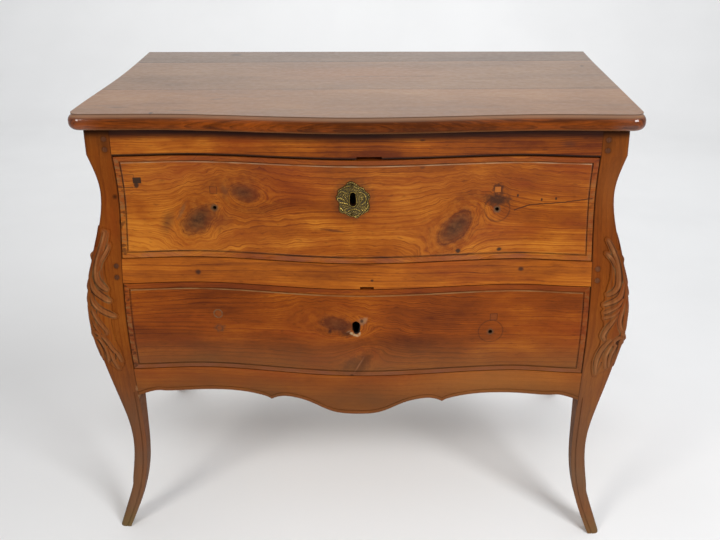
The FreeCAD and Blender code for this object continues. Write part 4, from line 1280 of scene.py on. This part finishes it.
@dataclass
class Escutcheon:
    """The cast plate round the upper keyhole: scrolls, a shell below and a raised lip round the hole."""

    name: str
    node: str
    middle: Point = (-2.6, 717.2)
    hole: tuple[float, float, float] = (4.7, 5.4, 12.2)
    spokes: int = 240
    rings: int = 56
    body: float = 1.5
    lip_ridge: tuple[float, float, float] = (1.575, 1.6, 1.2)
    edge_ridge: tuple[float, float, float] = (0.9, 1.4, 1.0)
    thin: float = 0.3
    sunk: float = 0.35
    seat: float = 20.0
    span: int = 44
    stride: int = 4
    blur: int = 10
    full: float = 0.45

    def bed(self, frame: Frame) -> Grid:
        """The curved drawer front under the plate, as the terms of a smooth sheet.

        Args:
            frame: The loaded frame.

        Returns:
            Six terms for the depth in millimetres at a place measured from the plate's middle.
        """
        front = Solid(frame["nodes"]["upper_drawer_front"])
        rows, deep = [], []
        steps = range(-self.span, self.span + 1, self.stride)
        for a in steps:
            for b in steps:
                place = Vector(((self.middle[0] + a) * MM, -1.0, (self.middle[1] + b) * MM))
                found = front.hit(place, INTO)
                if found is not None and math.hypot(a, b) > self.seat:
                    rows.append((1.0, a, b, a * a, a * b, b * b))
                    deep.append(found.y / MM)
        return np.linalg.lstsq(np.array(rows, float), np.array(deep), rcond=None)[0]

    def keyhole(self, angle: Grid) -> Grid:
        """The hole's rim at some angles round the plate's middle.

        Args:
            angle: The angles.

        Returns:
            A place on the rim for each angle.
        """
        top, bottom, half = self.hole
        reach = np.linspace(0.0, self.seat, 401)[None, :]
        x = np.cos(angle)[:, None] * reach
        z = np.sin(angle)[:, None] * reach
        share = np.clip((z + half - bottom) / (2 * half - top - bottom), 0.0, 1.0)
        wide = bottom + (top - bottom) * share
        off = np.hypot(x, z - np.clip(z, bottom - half, half - top))
        last = (off < wide).sum(axis=1) - 1
        return np.stack([np.cos(angle), np.sin(angle)], axis=1) * reach[0, last][:, None]

    def placed(self, terms: Grid, a: Grid, b: Grid, out: Grid) -> Grid:
        """Places points on the drawer front.

        Args:
            terms: The front's sheet.
            a: Each point's first place from the plate's middle.
            b: Its second place.
            out: How far it stands out of the front.

        Returns:
            The points, in metres of the frame.
        """
        deep = terms @ np.array([np.ones_like(a), a, b, a * a, a * b, b * b]).reshape(6, -1)
        x, z = a.ravel() + self.middle[0], b.ravel() + self.middle[1]
        return np.stack([x, deep - out.ravel(), z], axis=1) * MM

    def build(self, frame: Frame, finish: Material) -> None:
        """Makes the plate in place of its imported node.

        Args:
            frame: The loaded frame.
            finish: Cast brass.
        """
        outer = curve_through(PLATE_OUTLINE, self.spokes, closed=True)
        inner = self.keyhole(np.arctan2(outer[:, 1], outer[:, 0]))
        share = np.linspace(0.0, 1.0, self.rings)[:, None, None]
        flat = inner[None] * (1 - share) + outer[None] * share
        x, z = flat[..., 0], flat[..., 1]
        edge = np.linalg.norm(flat - outer[None], axis=2)
        lip = np.linalg.norm(flat - inner[None], axis=2)
        high = np.zeros(x.shape)
        for stroke in PLATE_STROKES:
            high = np.maximum(high, stroke.lay(x, z)[0])
        for off, (tall, middle, wide) in ((lip, self.lip_ridge), (edge, self.edge_ridge)):
            high = np.maximum(high, tall * np.exp(-((off - middle) / wide) ** 2))
        ripple = 0.4 * np.sin(x * 2.3 + 1.3 * np.sin(z * 1.1)) * np.sin(z * 2.1 + 1.1 * np.sin(x * 0.9))
        ripple *= np.clip((lip - 2.5) / 2.0, 0.0, 1.0)
        rise = self.body * np.clip(edge / 1.6, 0.0, 1.0) ** 0.5 * np.clip(lip / 0.8 + 0.3, 0.0, 1.0) ** 0.5
        top = rise * (1.0 + 0.2 * ripple) + high * np.clip(edge / 1.2, 0.0, 1.0) + ripple
        relief = standing(0.6 * high + ripple, self.blur, self.full)
        terms = self.bed(frame)
        upper = self.placed(terms, x, z, np.maximum(top, self.thin))
        ends = self.placed(terms, x[[0, -1]], z[[0, -1]], np.full((2, self.spokes), -self.sunk))
        count = self.spokes
        loops = np.arange((self.rings + 2) * count).reshape(-1, count)
        loops = np.vstack([loops[-2:-1], loops[:-2], loops[-1:]])
        faces = []
        for one, two in zip(loops, np.roll(loops, -1, axis=0)):
            faces += zip(one, np.roll(one, -1), np.roll(two, -1), two)
        relief = np.concatenate([relief.ravel(), np.full(2 * count, -0.5)])
        plate = new_piece(self.name, np.vstack([upper, ends]), faces, relief, finish)
        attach(plate, "upper_drawer")
        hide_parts(self.node)


@dataclass
class Top:
    """The three boards of the top."""

    front_seam: tuple[float, float] = (-89.0, -78.0)
    rear_seam: tuple[float, float] = (184.0, 208.0)
    half: float = 498.0

    def build(self, frame: Frame) -> None:
        """Gives each board its figure, seams and wear.

        Args:
            frame: The loaded frame.
        """
        seam = srgb(64, 46, 36)
        bruise = srgb(78, 62, 52)
        ends = (-self.half, self.half)
        front_line = Crack(tuple(zip(ends, self.front_seam)), 2.2, seam, 0.55, 0.5)
        rear_line = Crack(tuple(zip(ends, self.rear_seam)), 3.6, seam, 0.8, 0.5)
        nails = tuple(Spot(h, v, 4, 5, NAIL, 0.8) for h, v in ((463, 142), (-349, -278)))
        front = (Spot(-10, -190, 190, 90, srgb(122, 90, 62), 0.4, 1), front_line, *nails,
                 Spot(-420, -236, 22, 6, bruise, 0.5, 1), Spot(-300, -258, 26, 5, bruise, 0.5, 1),
                 Spot(-250, -170, 18, 7, srgb(84, 66, 56), 0.4, 1, 20))
        middle = (Spot(-10, 60, 200, 90, srgb(150, 98, 54), 0.5, 1), front_line, rear_line,
                  Crack(((-29, 36), (60, 36.5), (151, 38)), 2, seam, 0.75), *nails)
        rear = (rear_line, Spot(-287, 276, 13, 12, srgb(70, 48, 36), 0.8, 0.9))
        # The boards' tones are pale and greyish: part of the top's sheen is painted into them.
        boards = (("front", 3.1, front, (104, 70, 44), (146, 103, 66), (172, 130, 86)),
                  ("middle", 11.7, middle, (98, 68, 44), (136, 100, 68), (160, 124, 88)),
                  ("rear", 23.9, rear, (84, 60, 42), (118, 90, 66), (144, 112, 84)))
        for name, seed, marks, *tones in boards:
            finish = Cherry("cherry_top_" + name, Grain.TOP, seed, *(srgb(*tone) for tone in tones),
                            marks=marks, ember=srgb(118, 90, 70), nose=srgb(99, 45, 7), rough=0.36,
                            shine=0.05, coat=0.38, coat_rough=0.1, contrast=0.55, wave=0.02, edge=0.0012)
            dress(frame, finish, "top_board_" + name)


@dataclass
class Carcass:
    """Posts, rails, panels, back and the inner bearers."""

    # Greyer towards the floor: grime and painted light bounced up from the floor.
    leg_grime_and_floor_light: Colour = srgb(98, 78, 60)
    foot_wear: Colour = srgb(98, 80, 50)

    def post_finish(self, name: str, seed: float, marks: tuple[Mark, ...], grime_and_floor_light_start: float) -> Cherry:
        """The finish of a front post: dull, greyer towards a rubbed foot from soiling and painted floor
        light, and darker under the top from painted shade.

        Args:
            name: The material's name.
            seed: Where its figure starts.
            marks: Its own marks.
            grime_and_floor_light_start: The height where the soiling and the painted floor light start.

        Returns:
            The finish.
        """
        # Towards the foot: grime and painted floor light, then real wear at the foot. Towards the top:
        # painted shade, ending in a painted shadow line under the top's overhang.
        fades = (Fade(grime_and_floor_light_start, 0.12, self.leg_grime_and_floor_light, 0.6), Fade(0.05, -0.005, self.foot_wear, 0.8, 0.9),
                 Fade(0.78, 0.86, srgb(74, 42, 16), 0.6), Fade(0.823, 0.838, srgb(26, 10, 4), 0.85, 0.1))
        return Cherry(name, Grain.UPRIGHT, seed, srgb(72, 31, 9), srgb(108, 53, 13), srgb(138, 78, 24),
                      rings=44.0, wave=0.02, contrast=0.7, marks=marks, fades=fades, carved=True, rough=0.5,
                      coat=0.0, shine=0.03)

    def pegs(self, s: int) -> tuple[Mark, ...]:
        """The joint line of one side, the shade beside it and the dark rings round its pegs."""
        spots = (Spot(s * 442, z, 6.2, 6.2, WOOD_DARK, 0.55, 0.7) for z in (586, 565, 824, 805))
        return (Crack(((s * 431.7, 290), (s * 431.7, 846)), 1, WOOD_DARK, 0.6, 0.4),
                Spot(s * 443, 815, 9, 22, srgb(52, 28, 13), 0.5, 1), *spots)

    def posts(self, frame: Frame) -> None:
        """Dresses the posts and carves the leaves of the front ones.

        Args:
            frame: The loaded frame.
        """
        chip = srgb(176, 138, 98)
        left_marks = (*self.pegs(-1), Spot(-437, 713, 5, 5, WOOD_DARK, 0.8, 0.8),
                      Spot(-431, 666, 3, 6, WOOD_DARK, 0.7, 0.8), Spot(-430, 321, 5, 6, chip, 0.5, 1, 0, 1.4),
                      Spot(-428.5, 305, 3, 9, chip, 0.5, 1, -15, 1.4))
        right_marks = (Spot(462, 745, 34, 70, srgb(128, 80, 44), 0.26, 1), *self.pegs(1))
        for side, hand, seed, marks, grime_and_floor_light_start, cuts in (
                (-1, "left", 5.3, left_marks, 0.46, (LEFT_STRANDS, LEFT_GOUGES, LEFT_KNOBS)),
                (1, "right", 14.9, right_marks, 0.58, (RIGHT_STRANDS, RIGHT_GOUGES, RIGHT_KNOBS))):
            post = f"front_{hand}_post"
            wood = dress(frame, self.post_finish(f"cherry_{hand}_post", seed, marks, grime_and_floor_light_start), post)
            CarvedLeaf(f"{hand}_carved_leaf", side, post, f"{hand}_side_panel", *cuts).build(frame, wood)
        rear = Cherry("cherry_rear_posts", Grain.UPRIGHT, 31.3, srgb(70, 30, 10), srgb(106, 53, 18),
                      rings=44.0, contrast=0.7, rough=0.5, coat=0.0, shine=0.04,
                      # Greyer towards the floor: grime and painted floor light.
                      fades=(Fade(0.5, 0.05, self.leg_grime_and_floor_light, 0.6),))
        dress(frame, rear, "rear_left_post", "rear_right_post")

    def rails(self, frame: Frame) -> None:
        """Dresses the rails, the apron, the side panels and the pegs.

        Args:
            frame: The loaded frame.
        """
        top = Cherry("cherry_top_rail", Grain.FRONT, 41.0, rings=90.0, contrast=1.25,
                     tones=(Tone(-340, 812, 130, 24, 0.28), Tone(20, 812, 150, 26, -0.22)),
                     marks=(Spot(375, 816, 14, 6, srgb(70, 34, 18), 0.7, 0.9),
                            Spot(120, 826, 5, 2, WOOD_DARK, 0.6)),
                     # Painted shadow under the top's overhang, and a painted shadow line in the gap above the
                     # upper drawer.
                     fades=(Fade(0.817, 0.835, srgb(34, 8, 1), 0.95, 0.1),
                            Fade(0.7985, 0.795, srgb(14, 6, 4), 0.92, 0.1)))
        spots = tuple(Spot(h, v, r, r * 0.8, srgb(44, 26, 18), 0.85, 0.6)
                      for h, v, r in ((-292, 572, 6.0), (304, 582, 5.5), (32, 570, 3.0)))
        middle = Cherry("cherry_middle_rail", Grain.FRONT, 53.5, warm=srgb(142, 74, 14), rings=80.0,
                        marks=spots, tones=(Tone(-310, 577, 120, 30, -0.16),))
        apron = Cherry("cherry_apron", Grain.FRONT, 61.2, contrast=0.7, rough=0.48, coat=0.04, wave=0.05,
                       marks=(Spot(260, 350, 170, 40, srgb(150, 94, 40), 0.4, 1),),
                       # Greyer towards the bottom: grime and painted floor light.
                       fades=(Fade(0.39, 0.3, srgb(86, 54, 26), 0.7),))
        peg = Cherry("cherry_pegs", Grain.UPRIGHT, 97.0, srgb(46, 24, 13), srgb(80, 44, 22),
                     srgb(104, 62, 34), rings=300.0)
        for finish, node in ((top, "front_top_rail"), (middle, "front_middle_rail"), (apron, "front_apron"),
                             (peg, "frame_pegs")):
            dress(frame, finish, node)
        for node, seed in (("left_side_panel", 71.4), ("right_side_panel", 83.8)):
            panel = Cherry("cherry_" + node, Grain.SIDE, seed, rough=0.46, coat=0.04, wave=0.06,
                           # Greyer towards the floor: grime and painted floor light.
                           fades=(Fade(0.5, 0.29, self.leg_grime_and_floor_light, 0.45),))
            dress(frame, panel, node)

    def inside(self, frame: Frame) -> None:
        """Dresses the back and the bearers of the drawers.

        Args:
            frame: The loaded frame.
        """
        back = InnerWood("sawn_back", Grain.TOP, 2.0, srgb(150, 118, 82), srgb(92, 66, 42))
        dress(frame, back, "back_top_rail", "back_bottom_rail", "top_dowels")
        for level, seed, shade in (("upper", 7.0, 1.0), ("middle", 9.4, 0.82), ("lower", 13.1, 0.92)):
            tones = (toned(srgb(*tone), shade) for tone in ((158, 126, 88), (98, 70, 44)))
            dress(frame, InnerWood("sawn_back_" + level, Grain.FRONT, seed, *tones), "back_board_" + level)
        nodes = [f"{level}_{hand}_{what}" for level in ("upper", "lower") for hand in ("left", "right")
                 for what in ("runner", "guide")]
        dress(frame, InnerWood("sawn_bearers", Grain.SIDE, 12.0), *nodes, "left_kicker", "right_kicker",
              "upper_drawer_stops", "lower_drawer_stops")

    def build(self, frame: Frame) -> None:
        """Dresses the whole carcass.

        Args:
            frame: The loaded frame.
        """
        self.posts(frame)
        self.rails(frame)
        self.inside(frame)


@dataclass
class Drawer:
    """A drawer with its front, box, plugs and lock."""

    level: str
    front: Cherry

    def iron(self) -> list[str]:
        """The nodes of the nails and the lock."""
        kinds = ("drawer_nails", "lock_plate", "lock_cap", "lock_screws", "lock_bolt")
        return [f"{self.level}_{kind}" for kind in kinds]

    def build(self, frame: Frame) -> None:
        """Dresses the drawer's wood.

        Args:
            frame: The loaded frame.
        """
        box = self.level + "_drawer_"
        sawn = f"sawn_{self.level}_"
        plug = Cherry(f"cherry_{self.level}_plugs", Grain.FRONT, 7.7, rings=200.0, contrast=0.6,
                      warm=srgb(112, 54, 12), pale=srgb(140, 76, 22),
                      marks=(Spot(257.5, 727, 12, 12, srgb(160, 92, 34), 0.7),
                             Joint(257.5, 727, 6, 6, 1.5, WOOD_DARK, 0.7)))
        dress(frame, self.front, box + "front")
        dress(frame, InnerWood(sawn + "sides", Grain.SIDE, 22.0), box + "left_side", box + "right_side")
        dress(frame, InnerWood(sawn + "boards", Grain.FRONT, 29.0), box + "back")
        dress(frame, InnerWood(sawn + "bottom", Grain.TOP, 37.0), box + "bottom")
        dress(frame, plug, box + "plugs")


def drawer_bead(front: str, light: Colour, groove_grime_and_shade: float) -> Bead:
    """The bead round a drawer front, from the node's own corners."""
    low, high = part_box(front)
    # light colours the painted highlight line; the last number scales the groove's painted shade and grime.
    return Bead((low.x / MM, low.z / MM), (high.x / MM, high.z / MM), light, groove_grime_and_shade)


def upper_front() -> Cherry:
    """The upper drawer's front with its knots, old pulls, crack and repairs.

    Returns:
        The finish.
    """
    ring = srgb(60, 28, 13)
    patch = srgb(40, 26, 16)
    marks = (
        Crack(((288, 688), (318, 698), (364, 703), (426, 713)), 1.5, ring, 0.95),
        Spot(258, 707.5, 26, 13.5, srgb(54, 29, 15), 0.95, 0.8, 0, 1.4),
        Circle(257.5, 691, 23, 2.6, ring, 0.6),
        Spot(-318, 684, 4, 17, srgb(88, 66, 42), 0.5, 1, -28, 1.4),
        Spot(-237, 723, 7, 14, srgb(82, 48, 26), 0.6, 1, 10, 1.4),
        Spot(258, 728.5, 11, 11, ring, 0.85, 0.4, 0, 1.2), Joint(-258, 723.5, 6.4, 6.4, 1.3, ring, 0.7),
        Spot(257.5, 690, 7, 7, srgb(78, 60, 42), 0.85, 0.5), Spot(257.5, 690, 3.2, 3.2, HOLE_SHADE, 1, 0.3),
        # Painted shade inside the two pull holes.
        Spot(-257.5, 690, 8, 7, srgb(70, 54, 36), 0.85, 0.5), Spot(-257.5, 690, 3.2, 3.2, HOLE_SHADE, 1, 0.3),
        # A darker ring round the keyhole plate: painted shadow of the plate with some dirt. Painted shade
        # inside the keyhole.
        Spot(-3, 717, 38, 42, srgb(58, 34, 14), 0.6, 0.4), Spot(-3, 717, 16, 18, HOLE_SHADE, 1, 0.3),
        *(Spot(h, v, rh, rv, NAIL) for h, v, rh, rv in (
            (294, 715, 1.9, 3.2), (337, 708, 1.9, 3.2), (362, 711, 1.9, 3.2), (188, 618, 5, 4.6),
            (263, 618, 4.8, 3.6))),
        Joint(-409, 743, 10, 13, 0.9, ring, 0.7), Joint(-394, 744, 7, 5.5, 0.7, patch, 0.95, 1),
        Spot(-396, 735, 4.6, 6.5, patch, 0.9, 0.5), Crack(((-425, 730), (-402, 731)), 0.9, ring, 0.8),
        Crack(((-290, 782), (-276, 796)), 0.9, ring, 0.5), Spot(120, 775, 6, 2, srgb(58, 30, 16), 0.6),
        Spot(-40, 659, 26, 2.6, srgb(66, 32, 16), 0.7, 0.9, -5),
        Spot(60, 690, 90, 40, srgb(112, 46, 16), 0.25, 1),
        Spot(-345, 664, 12, 22, srgb(66, 38, 20), 0.6, 1, -20),
        Spot(-248, 668, 26, 18, srgb(84, 32, 12), 0.6, 1, 10),
        Spot(-120, 770, 60, 14, srgb(118, 48, 18), 0.3, 1),
        Spot(-125, 735, 90, 40, srgb(148, 60, 6), 0.25, 1),
    )
    return Cherry("cherry_upper_front", Grain.FRONT, 1.7, marks=marks, contrast=1.3,
                  knots=(Knot(-202, 721, 46, 27, -8, 0.92, 0.48), Knot(-288, 668, 48, 34, 38, 0.94, 0.52),
                         Knot(181, 659, 60, 34, 40, 0.88, 0.48)),
                  tones=(Tone(-340, 640, 160, 60, 0.2), Tone(-110, 645, 140, 50, 0.16)),
                  bead=drawer_bead("upper_drawer_front", srgb(170, 140, 108), 1.0))


def lower_front() -> Cherry:
    """The lower drawer's front with its knots, old pulls and battered keyhole.

    Returns:
        The finish.
    """
    ring = srgb(56, 28, 14)
    chips = ((-5.5, 467, 3.4, 3.2), (-1, 463.5, 3.6, 3), (4, 462.5, 3.6, 2.8), (8.5, 466, 2.4, 4))
    marks = (
        Spot(-22, 476, 28, 9, srgb(58, 26, 12), 0.55, 1, 10),
        Spot(-15, 465, 14, 7, srgb(40, 18, 9), 0.75, 0.9, 0, 1.4),
        Spot(-46, 470, 5, 4, srgb(40, 16, 8), 0.75, 0.8, 20, 1.2),
        Spot(-11, 471, 5, 1.6, srgb(124, 104, 80), 0.5, 1, 30, 1.5),
        Spot(18, 493, 4, 8, srgb(156, 122, 86), 0.5, 1, -30, 1.5),
        Spot(15, 402, 36, 12, srgb(62, 28, 12), 0.5, 1, 58, 1.2),
        Spot(-14, 396, 26, 11, srgb(72, 44, 26), 0.45, 1, 52, 1.2),
        Spot(7, 396, 20, 1.8, srgb(140, 92, 60), 0.45, 1, 63, 1),
        *(Spot(*chip, srgb(172, 146, 108), 0.7, 0.9, 0, 1.5) for chip in chips),
        Spot(14, 491, 8, 7, srgb(112, 82, 58), 0.7, 0.8, 0, 1.5),
        # Painted shade inside the keyhole.
        Spot(13, 492, 3.4, 4, srgb(44, 26, 18), 0.8, 0.6), Spot(2.8, 478.6, 7.8, 13.6, HOLE_SHADE, 1, 0.1, 0, 0.3),
        Circle(253, 460, 23, 2.2, ring, 0.6), Joint(257.5, 490, 6.4, 6.4, 1.2, ring),
        Circle(-258, 492, 8, 2.2, srgb(96, 74, 50), 0.9), Spot(252.5, 459, 7, 7, srgb(78, 58, 38), 0.8, 0.5),
        # Painted shade inside the pull hole.
        Spot(252.5, 459, 4, 4, HOLE_SHADE, 1, 0.3), Spot(-257.5, 461, 11, 8, srgb(62, 46, 32), 0.75, 0.8, 0, 1.4),
        Spot(-7, 370, 4.2, 4, NAIL),
    )
    return Cherry("cherry_lower_front", Grain.FRONT, 19.3, srgb(76, 30, 5), srgb(118, 54, 7),
                  srgb(152, 82, 15), marks=marks, contrast=1.2, shine=0.07,
                  fades=(Fade(0.47, 0.37, srgb(104, 68, 36), 0.6),),
                  knots=(Knot(-34, 485, 58, 27, -10, 0.62, 0.44), Knot(3, 390, 46, 26, 50, 0.42, 0.6)),
                  tones=(Tone(-330, 440, 110, 50, -0.12), Tone(120, 420, 130, 40, -0.1),
                         Tone(-110, 500, 90, 40, 0.1), Tone(-110, 425, 130, 40, -0.2),
                         Tone(130, 475, 110, 60, -0.18), Tone(340, 500, 150, 70, 0.16)),
                  bead=drawer_bead("lower_drawer_front", srgb(142, 106, 66), 0.6))


@dataclass
class Studio:
    """Pale floor and backdrop, two soft lights from the front, one behind, and the camera."""

    camera_place: tuple[float, float, float] = (0.0695, -1.8846, 1.2609)
    lens: float = 47.71
    yaw: float = 2.14
    pitch: float = 22.83
    roll: float = -0.46
    half_width: float = 6.0
    floor_front: float = -5.0
    cove_start: float = 3.0
    cove: float = 1.2
    cove_steps: int = 24
    wall_top: float = 4.2
    paper: Colour = (0.86, 0.86, 0.86)
    air: Colour = (0.95, 0.97, 1.0)
    air_strength: float = 0.42

    def backdrop(self) -> None:
        """Makes the floor that sweeps up into the backdrop."""
        profile = [(self.floor_front, 0.0), (0.0, 0.0), (self.cove_start, 0.0)]
        for i in range(1, self.cove_steps + 1):
            a = math.radians(90.0 * i / self.cove_steps)
            profile.append((self.cove_start + self.cove * math.sin(a), self.cove * (1 - math.cos(a))))
        profile.append((self.cove_start + self.cove, self.wall_top))
        points = [(x, y, z) for y, z in profile for x in (-self.half_width, self.half_width)]
        faces = [(2 * i, 2 * i + 1, 2 * i + 3, 2 * i + 2) for i in range(len(profile) - 1)]
        paper = StudioPaper("studio_paper", self.paper).build()
        sweep = new_piece("studio_sweep", np.array(points), faces, None, paper)

    def lamp(self, name: str, place: Vector, aim: Vector, size: float, power: float, tint: Colour) -> None:
        """Hangs one soft light.

        Args:
            name: The light's name.
            place: Where it hangs.
            aim: What it points at.
            size: Its width and height.
            power: Its power in watts.
            tint: Its colour.
        """
        data = bpy.data.lights.new(name, "AREA")
        data.size = size
        data.energy = power
        data.color = tint
        lamp = bpy.data.objects.new(name, data)
        lamp.location = place
        lamp.rotation_euler = (aim - place).to_track_quat("-Z", "Y").to_euler()
        lamp.visible_camera = False
        bpy.context.scene.collection.objects.link(lamp)
        LOG.info("%s: %.0f W", name, power)

    def lights(self) -> None:
        """Sets the lights and the pale surroundings."""
        chest, wall = Vector((0.0, 0.0, 0.5)), Vector((0.0, 3.6, 0.6))
        self.lamp("left_softbox", Vector((-1.7, -2.3, 1.9)), chest, 0.9, 34.0, (1.0, 0.965, 0.91))
        self.lamp("right_softbox", Vector((1.75, -2.3, 1.9)), chest, 1.1, 74.0, (0.97, 0.985, 1.0))
        self.lamp("back_softbox", Vector((0.0, 1.6, 3.6)), wall, 2.4, 68.0, (1.0, 1.0, 1.0))
        world = bpy.data.worlds.new("studio_air")
        world.use_nodes = True
        shade = world.node_tree.nodes["Background"]
        shade.inputs["Color"].default_value = (*self.air, 1.0)
        shade.inputs["Strength"].default_value = self.air_strength
        bpy.context.scene.world = world
        bpy.context.scene.view_settings.view_transform = "Standard"

    def camera(self) -> None:
        """Sets the camera where the photograph was taken from."""
        turn = Matrix.Rotation(math.radians(self.yaw), 3, "Z")
        tip = math.radians(self.pitch)
        right = turn @ Vector((1, 0, 0))
        ahead = turn @ Vector((0, math.cos(tip), -math.sin(tip)))
        up = right.cross(ahead)
        c, s = math.cos(math.radians(self.roll)), math.sin(math.radians(self.roll))
        across, rise = right * c + up * s, up * c - right * s
        data = bpy.data.cameras.new("camera")
        data.sensor_width = 36.0
        data.lens = self.lens
        data.clip_end = 100.0
        camera = bpy.data.objects.new("camera", data)
        matrix = Matrix((across, rise, -ahead)).transposed().to_4x4()
        matrix.translation = Vector(self.camera_place)
        camera.matrix_world = matrix
        bpy.context.scene.collection.objects.link(camera)
        bpy.context.scene.camera = camera

    def build(self) -> None:
        """Sets the stage."""
        self.backdrop()
        self.lights()
        self.camera()


def main() -> None:
    """Builds the chest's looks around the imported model."""
    logging.basicConfig(level=logging.INFO, format="%(message)s")
    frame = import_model()
    Studio().build()
    Top().build(frame)
    Carcass().build(frame)
    drawers = (Drawer("upper", upper_front()), Drawer("lower", lower_front()))
    for drawer in drawers:
        drawer.build(frame)
    dress(frame, ForgedIron("forged_iron"), *(node for drawer in drawers for node in drawer.iron()))
    brass = dress(frame, CastBrass("cast_brass"), "upper_drawer_escutcheon_pins")
    Escutcheon("cast_escutcheon", "upper_drawer_escutcheon").build(frame, brass)


if __name__ == "__main__":
    main()
